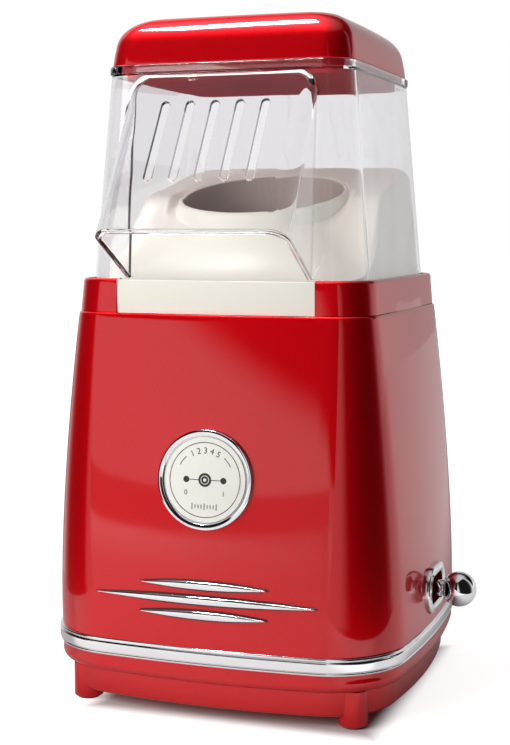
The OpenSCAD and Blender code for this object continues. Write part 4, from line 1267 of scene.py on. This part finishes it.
def dark_card(name, near, far, fade, brighten):
    """An upright card that only reflections show, pale at both ends and dark between."""
    r = recipe(name)
    along = r.place_along("Y")
    share = 1 - r.step(along + r.place_along("Z") * CARD_LEAN, *fade) + r.step(along, *brighten)
    strength = share * CARD_LIGHT + 0.01
    r.out(r.add("ShaderNodeEmission", inputs={"Color": WHITE, "Strength": strength}))
    bm = bmesh.new()
    foot = bm.edges.new([bm.verts.new((*end, 0)) for end in (near, far)])
    inward = math.copysign(CARD_FOOT, -near[0])
    for reach in ((0, 0, CARD_HIGH), (inward, 0, 0)):
        made = bmesh.ops.extrude_edge_only(bm, edges=[foot])["geom"]
        fresh = [g for g in made if isinstance(g, bmesh.types.BMVert)]
        bmesh.ops.translate(bm, vec=reach, verts=fresh)
    bmesh.ops.translate(bm, vec=(0, 0, 0.001), verts=bm.verts)
    thing = stage_sheet(name, bm, name)
    for kind in ("camera", "diffuse", "transmission", "shadow"):
        setattr(thing, "visible_" + kind, False)


def world():
    """Plain studio air, white to the camera, darker overhead in reflections and through glass."""
    room = bpy.data.worlds.new("studio_air")
    bpy.context.scene.world = room
    r = Recipe(room)
    ray = r.add("ShaderNodeTexCoord", output="Generated")
    north = r.add("ShaderNodeSeparateXYZ", inputs={"Vector": ray}, output="Y")
    up = r.add("ShaderNodeSeparateXYZ", inputs={"Vector": ray}, output="Z")
    tilted, flagged = r.dot(ray, CEILING), r.dot(ray, SHADED_SIDE)
    seen, through, glossy = (r.light_path(f"Is {kind} Ray") for kind in (
        "Camera", "Transmission", "Glossy"))
    # What gloss mirrors: pale walls that fade towards the back, a dark ceiling, a pale zenith
    walls = (1.05 - north * 0.235) * (1 - r.step(up, 0.15, 0.45) * 0.4)
    walls = walls * (1 - r.step(north, 0.90, 0.99) * 0.4)
    mirrored = walls * (1 - r.step(tilted, 0.275, 0.33) * 0.985) + r.step(up, 0.72, 0.96) * 0.6
    # What lights matt surfaces: dim from the shaded side, even once a ray has passed the hood
    hooded = r.step(r.light_path("Transparent Depth"), 0.0, 1.0)
    fill = hooded.mixed(0.40 - r.step(flagged, -0.1, 0.6) * 0.34, 0.67)
    strength = glossy.mixed(fill, mirrored)
    strength = through.mixed(strength, 0.88)
    strength = seen.mixed(strength, 1.0)
    violet = through * (1 - seen) * r.step(up, 0.25, 0.6)
    shade = r.blend(violet, WHITE, (0.50, 0.46, 0.56, 1))
    air = r.add("ShaderNodeBackground", inputs={"Color": shade, "Strength": strength})
    r.out(air, "ShaderNodeOutputWorld")


def floor():
    """Plain pale paper that glows to white away from the object."""
    r = recipe("floor_paper")
    fibre = r.noise(40.0, 2.0)
    paper = r.surface({
        "Base Color": r.blend(fibre, (0.70, 0.70, 0.695, 1), (0.74, 0.74, 0.735, 1)),
        "Roughness": 0.9,
        "Specular IOR Level": 0.0,
    }, output=False)
    seen = r.maths("MAXIMUM", r.light_path("Is Camera Ray"), r.light_path("Is Transmission Ray"))
    east, north = r.place_along("X") * 1.08, r.place_along("Y")
    away = r.maths("MAXIMUM", r.maths("ABSOLUTE", east), r.maths("ABSOLUTE", north))
    glow = r.step(away, 0.071, 0.087) * 0.85 + r.step(away, 0.2, 0.8) * 0.3
    ahead = r.step(north, -0.07, -0.11) * 0.46 - r.step(north, -0.25, -0.6) * 0.2
    beside = r.step(east, 0.075, 0.16) * 0.46
    mirrored = r.light_path("Is Glossy Ray") * (ahead + beside)
    strength = seen.mixed(mirrored, glow)
    light = r.add("ShaderNodeEmission", inputs={"Color": WHITE, "Strength": strength})
    r.out(r.add("ShaderNodeAddShader", inputs={0: paper, 1: light}))
    bm = bmesh.new()
    bmesh.ops.create_grid(bm, x_segments=8, y_segments=8, size=FLOOR_HALF)
    stage_sheet("studio_floor", bm, "floor_paper")


def studio():
    bpy.context.scene.view_settings.view_transform = "Standard"
    camera()
    world()
    floor()
    key = soft_box(
        "key_box", 13.4, (1, 0.985, 0.965), (-0.78, -0.99, 0.62), (0, 0, 0.16), 0.9, 0.8
    )
    key.visible_glossy = False
    top = soft_box("top_box", 22, WHITE[:3], (-0.32, -0.10, 1.25), (-0.1, 0, 0.3), 0.24, 0.34)
    top.visible_diffuse = False
    dark_card("flag_right", (0.10, -0.38), (0.335, 0.12), (-0.27, -0.19), (0.0, 0.12))
    dark_card("flag_left", (-0.32, -0.33), (-0.34, 0.14), (-0.27, -0.21), (-0.04, 0.14))


# ---------------------------------------------------------------- operators and panel
class POPCORN_OT_finishes(bpy.types.Operator):
    """Makes the node materials of every finish"""

    bl_idname = "popcorn.finishes"
    bl_label = "Finishes"

    def execute(self, context):
        all_finishes()
        return {"FINISHED"}


class POPCORN_OT_frame_finishes(bpy.types.Operator):
    """Gives the inner parts their finishes"""

    bl_idname = "popcorn.frame_finishes"
    bl_label = "Inner parts"

    def execute(self, context):
        dress_frame()
        return {"FINISHED"}


class POPCORN_OT_studio(bpy.types.Operator):
    """Builds the floor, soft light and camera"""

    bl_idname = "popcorn.studio"
    bl_label = "Studio"

    def execute(self, context):
        studio()
        return {"FINISHED"}


class POPCORN_OT_housing(bpy.types.Operator):
    """Builds the red tower"""

    bl_idname = "popcorn.housing"
    bl_label = "Housing"

    def execute(self, context):
        housing()
        return {"FINISHED"}


class POPCORN_OT_base_shell(bpy.types.Operator):
    """Builds the red base with its feet"""

    bl_idname = "popcorn.base_shell"
    bl_label = "Base"

    def execute(self, context):
        tray()
        return {"FINISHED"}


class POPCORN_OT_trim_band(bpy.types.Operator):
    """Builds the chrome band"""

    bl_idname = "popcorn.trim_band"
    bl_label = "Band"

    def execute(self, context):
        band()
        return {"FINISHED"}


class POPCORN_OT_funnel(bpy.types.Operator):
    """Builds the ivory funnel and its apron"""

    bl_idname = "popcorn.funnel"
    bl_label = "Funnel"

    def execute(self, context):
        funnel()
        return {"FINISHED"}


class POPCORN_OT_hood(bpy.types.Operator):
    """Builds the clear hood with its chute"""

    bl_idname = "popcorn.hood"
    bl_label = "Hood"

    def execute(self, context):
        hood()
        return {"FINISHED"}


class POPCORN_OT_cap(bpy.types.Operator):
    """Builds the red cap"""

    bl_idname = "popcorn.cap"
    bl_label = "Cap"

    def execute(self, context):
        cap()
        return {"FINISHED"}


class POPCORN_OT_dial(bpy.types.Operator):
    """Builds the dial, its bezel and its print"""

    bl_idname = "popcorn.dial"
    bl_label = "Dial"

    def execute(self, context):
        dial()
        return {"FINISHED"}


class POPCORN_OT_badge(bpy.types.Operator):
    """Builds the plated bars and their outline"""

    bl_idname = "popcorn.badge"
    bl_label = "Badge"

    def execute(self, context):
        badge()
        return {"FINISHED"}


class POPCORN_OT_lever(bpy.types.Operator):
    """Builds the side lever and its plate"""

    bl_idname = "popcorn.lever"
    bl_label = "Lever"

    def execute(self, context):
        lever()
        return {"FINISHED"}


STEPS = [
    POPCORN_OT_finishes, POPCORN_OT_frame_finishes, POPCORN_OT_studio, POPCORN_OT_housing,
    POPCORN_OT_base_shell, POPCORN_OT_trim_band, POPCORN_OT_funnel, POPCORN_OT_hood,
    POPCORN_OT_cap, POPCORN_OT_dial, POPCORN_OT_badge, POPCORN_OT_lever,
]


class POPCORN_PT_panel(bpy.types.Panel):
    """Lists the pieces in the order in which they are built"""

    bl_idname = "POPCORN_PT_panel"
    bl_label = "Popcorn Maker"
    bl_space_type = "VIEW_3D"
    bl_region_type = "UI"
    bl_category = "Popcorn"

    def draw(self, context):
        for step in STEPS:
            self.layout.operator(step.bl_idname)
        for group in (context.scene.popcorn_sizes, context.scene.popcorn_colours):
            for name in group.__annotations__:
                self.layout.prop(group, name)


CLASSES = [PopcornSizes, PopcornColours, *STEPS, POPCORN_PT_panel]


def register():
    for cls in CLASSES:
        bpy.utils.register_class(cls)
    bpy.types.Scene.popcorn_sizes = PointerProperty(type=PopcornSizes)
    bpy.types.Scene.popcorn_colours = PointerProperty(type=PopcornColours)


def unregister():
    del bpy.types.Scene.popcorn_sizes
    del bpy.types.Scene.popcorn_colours
    for cls in reversed(CLASSES):
        bpy.utils.unregister_class(cls)


def main():
    register()
    for step in STEPS:
        group, name = step.bl_idname.split(".")
        getattr(getattr(bpy.ops, group), name)()


if __name__ == "__main__":
    main()
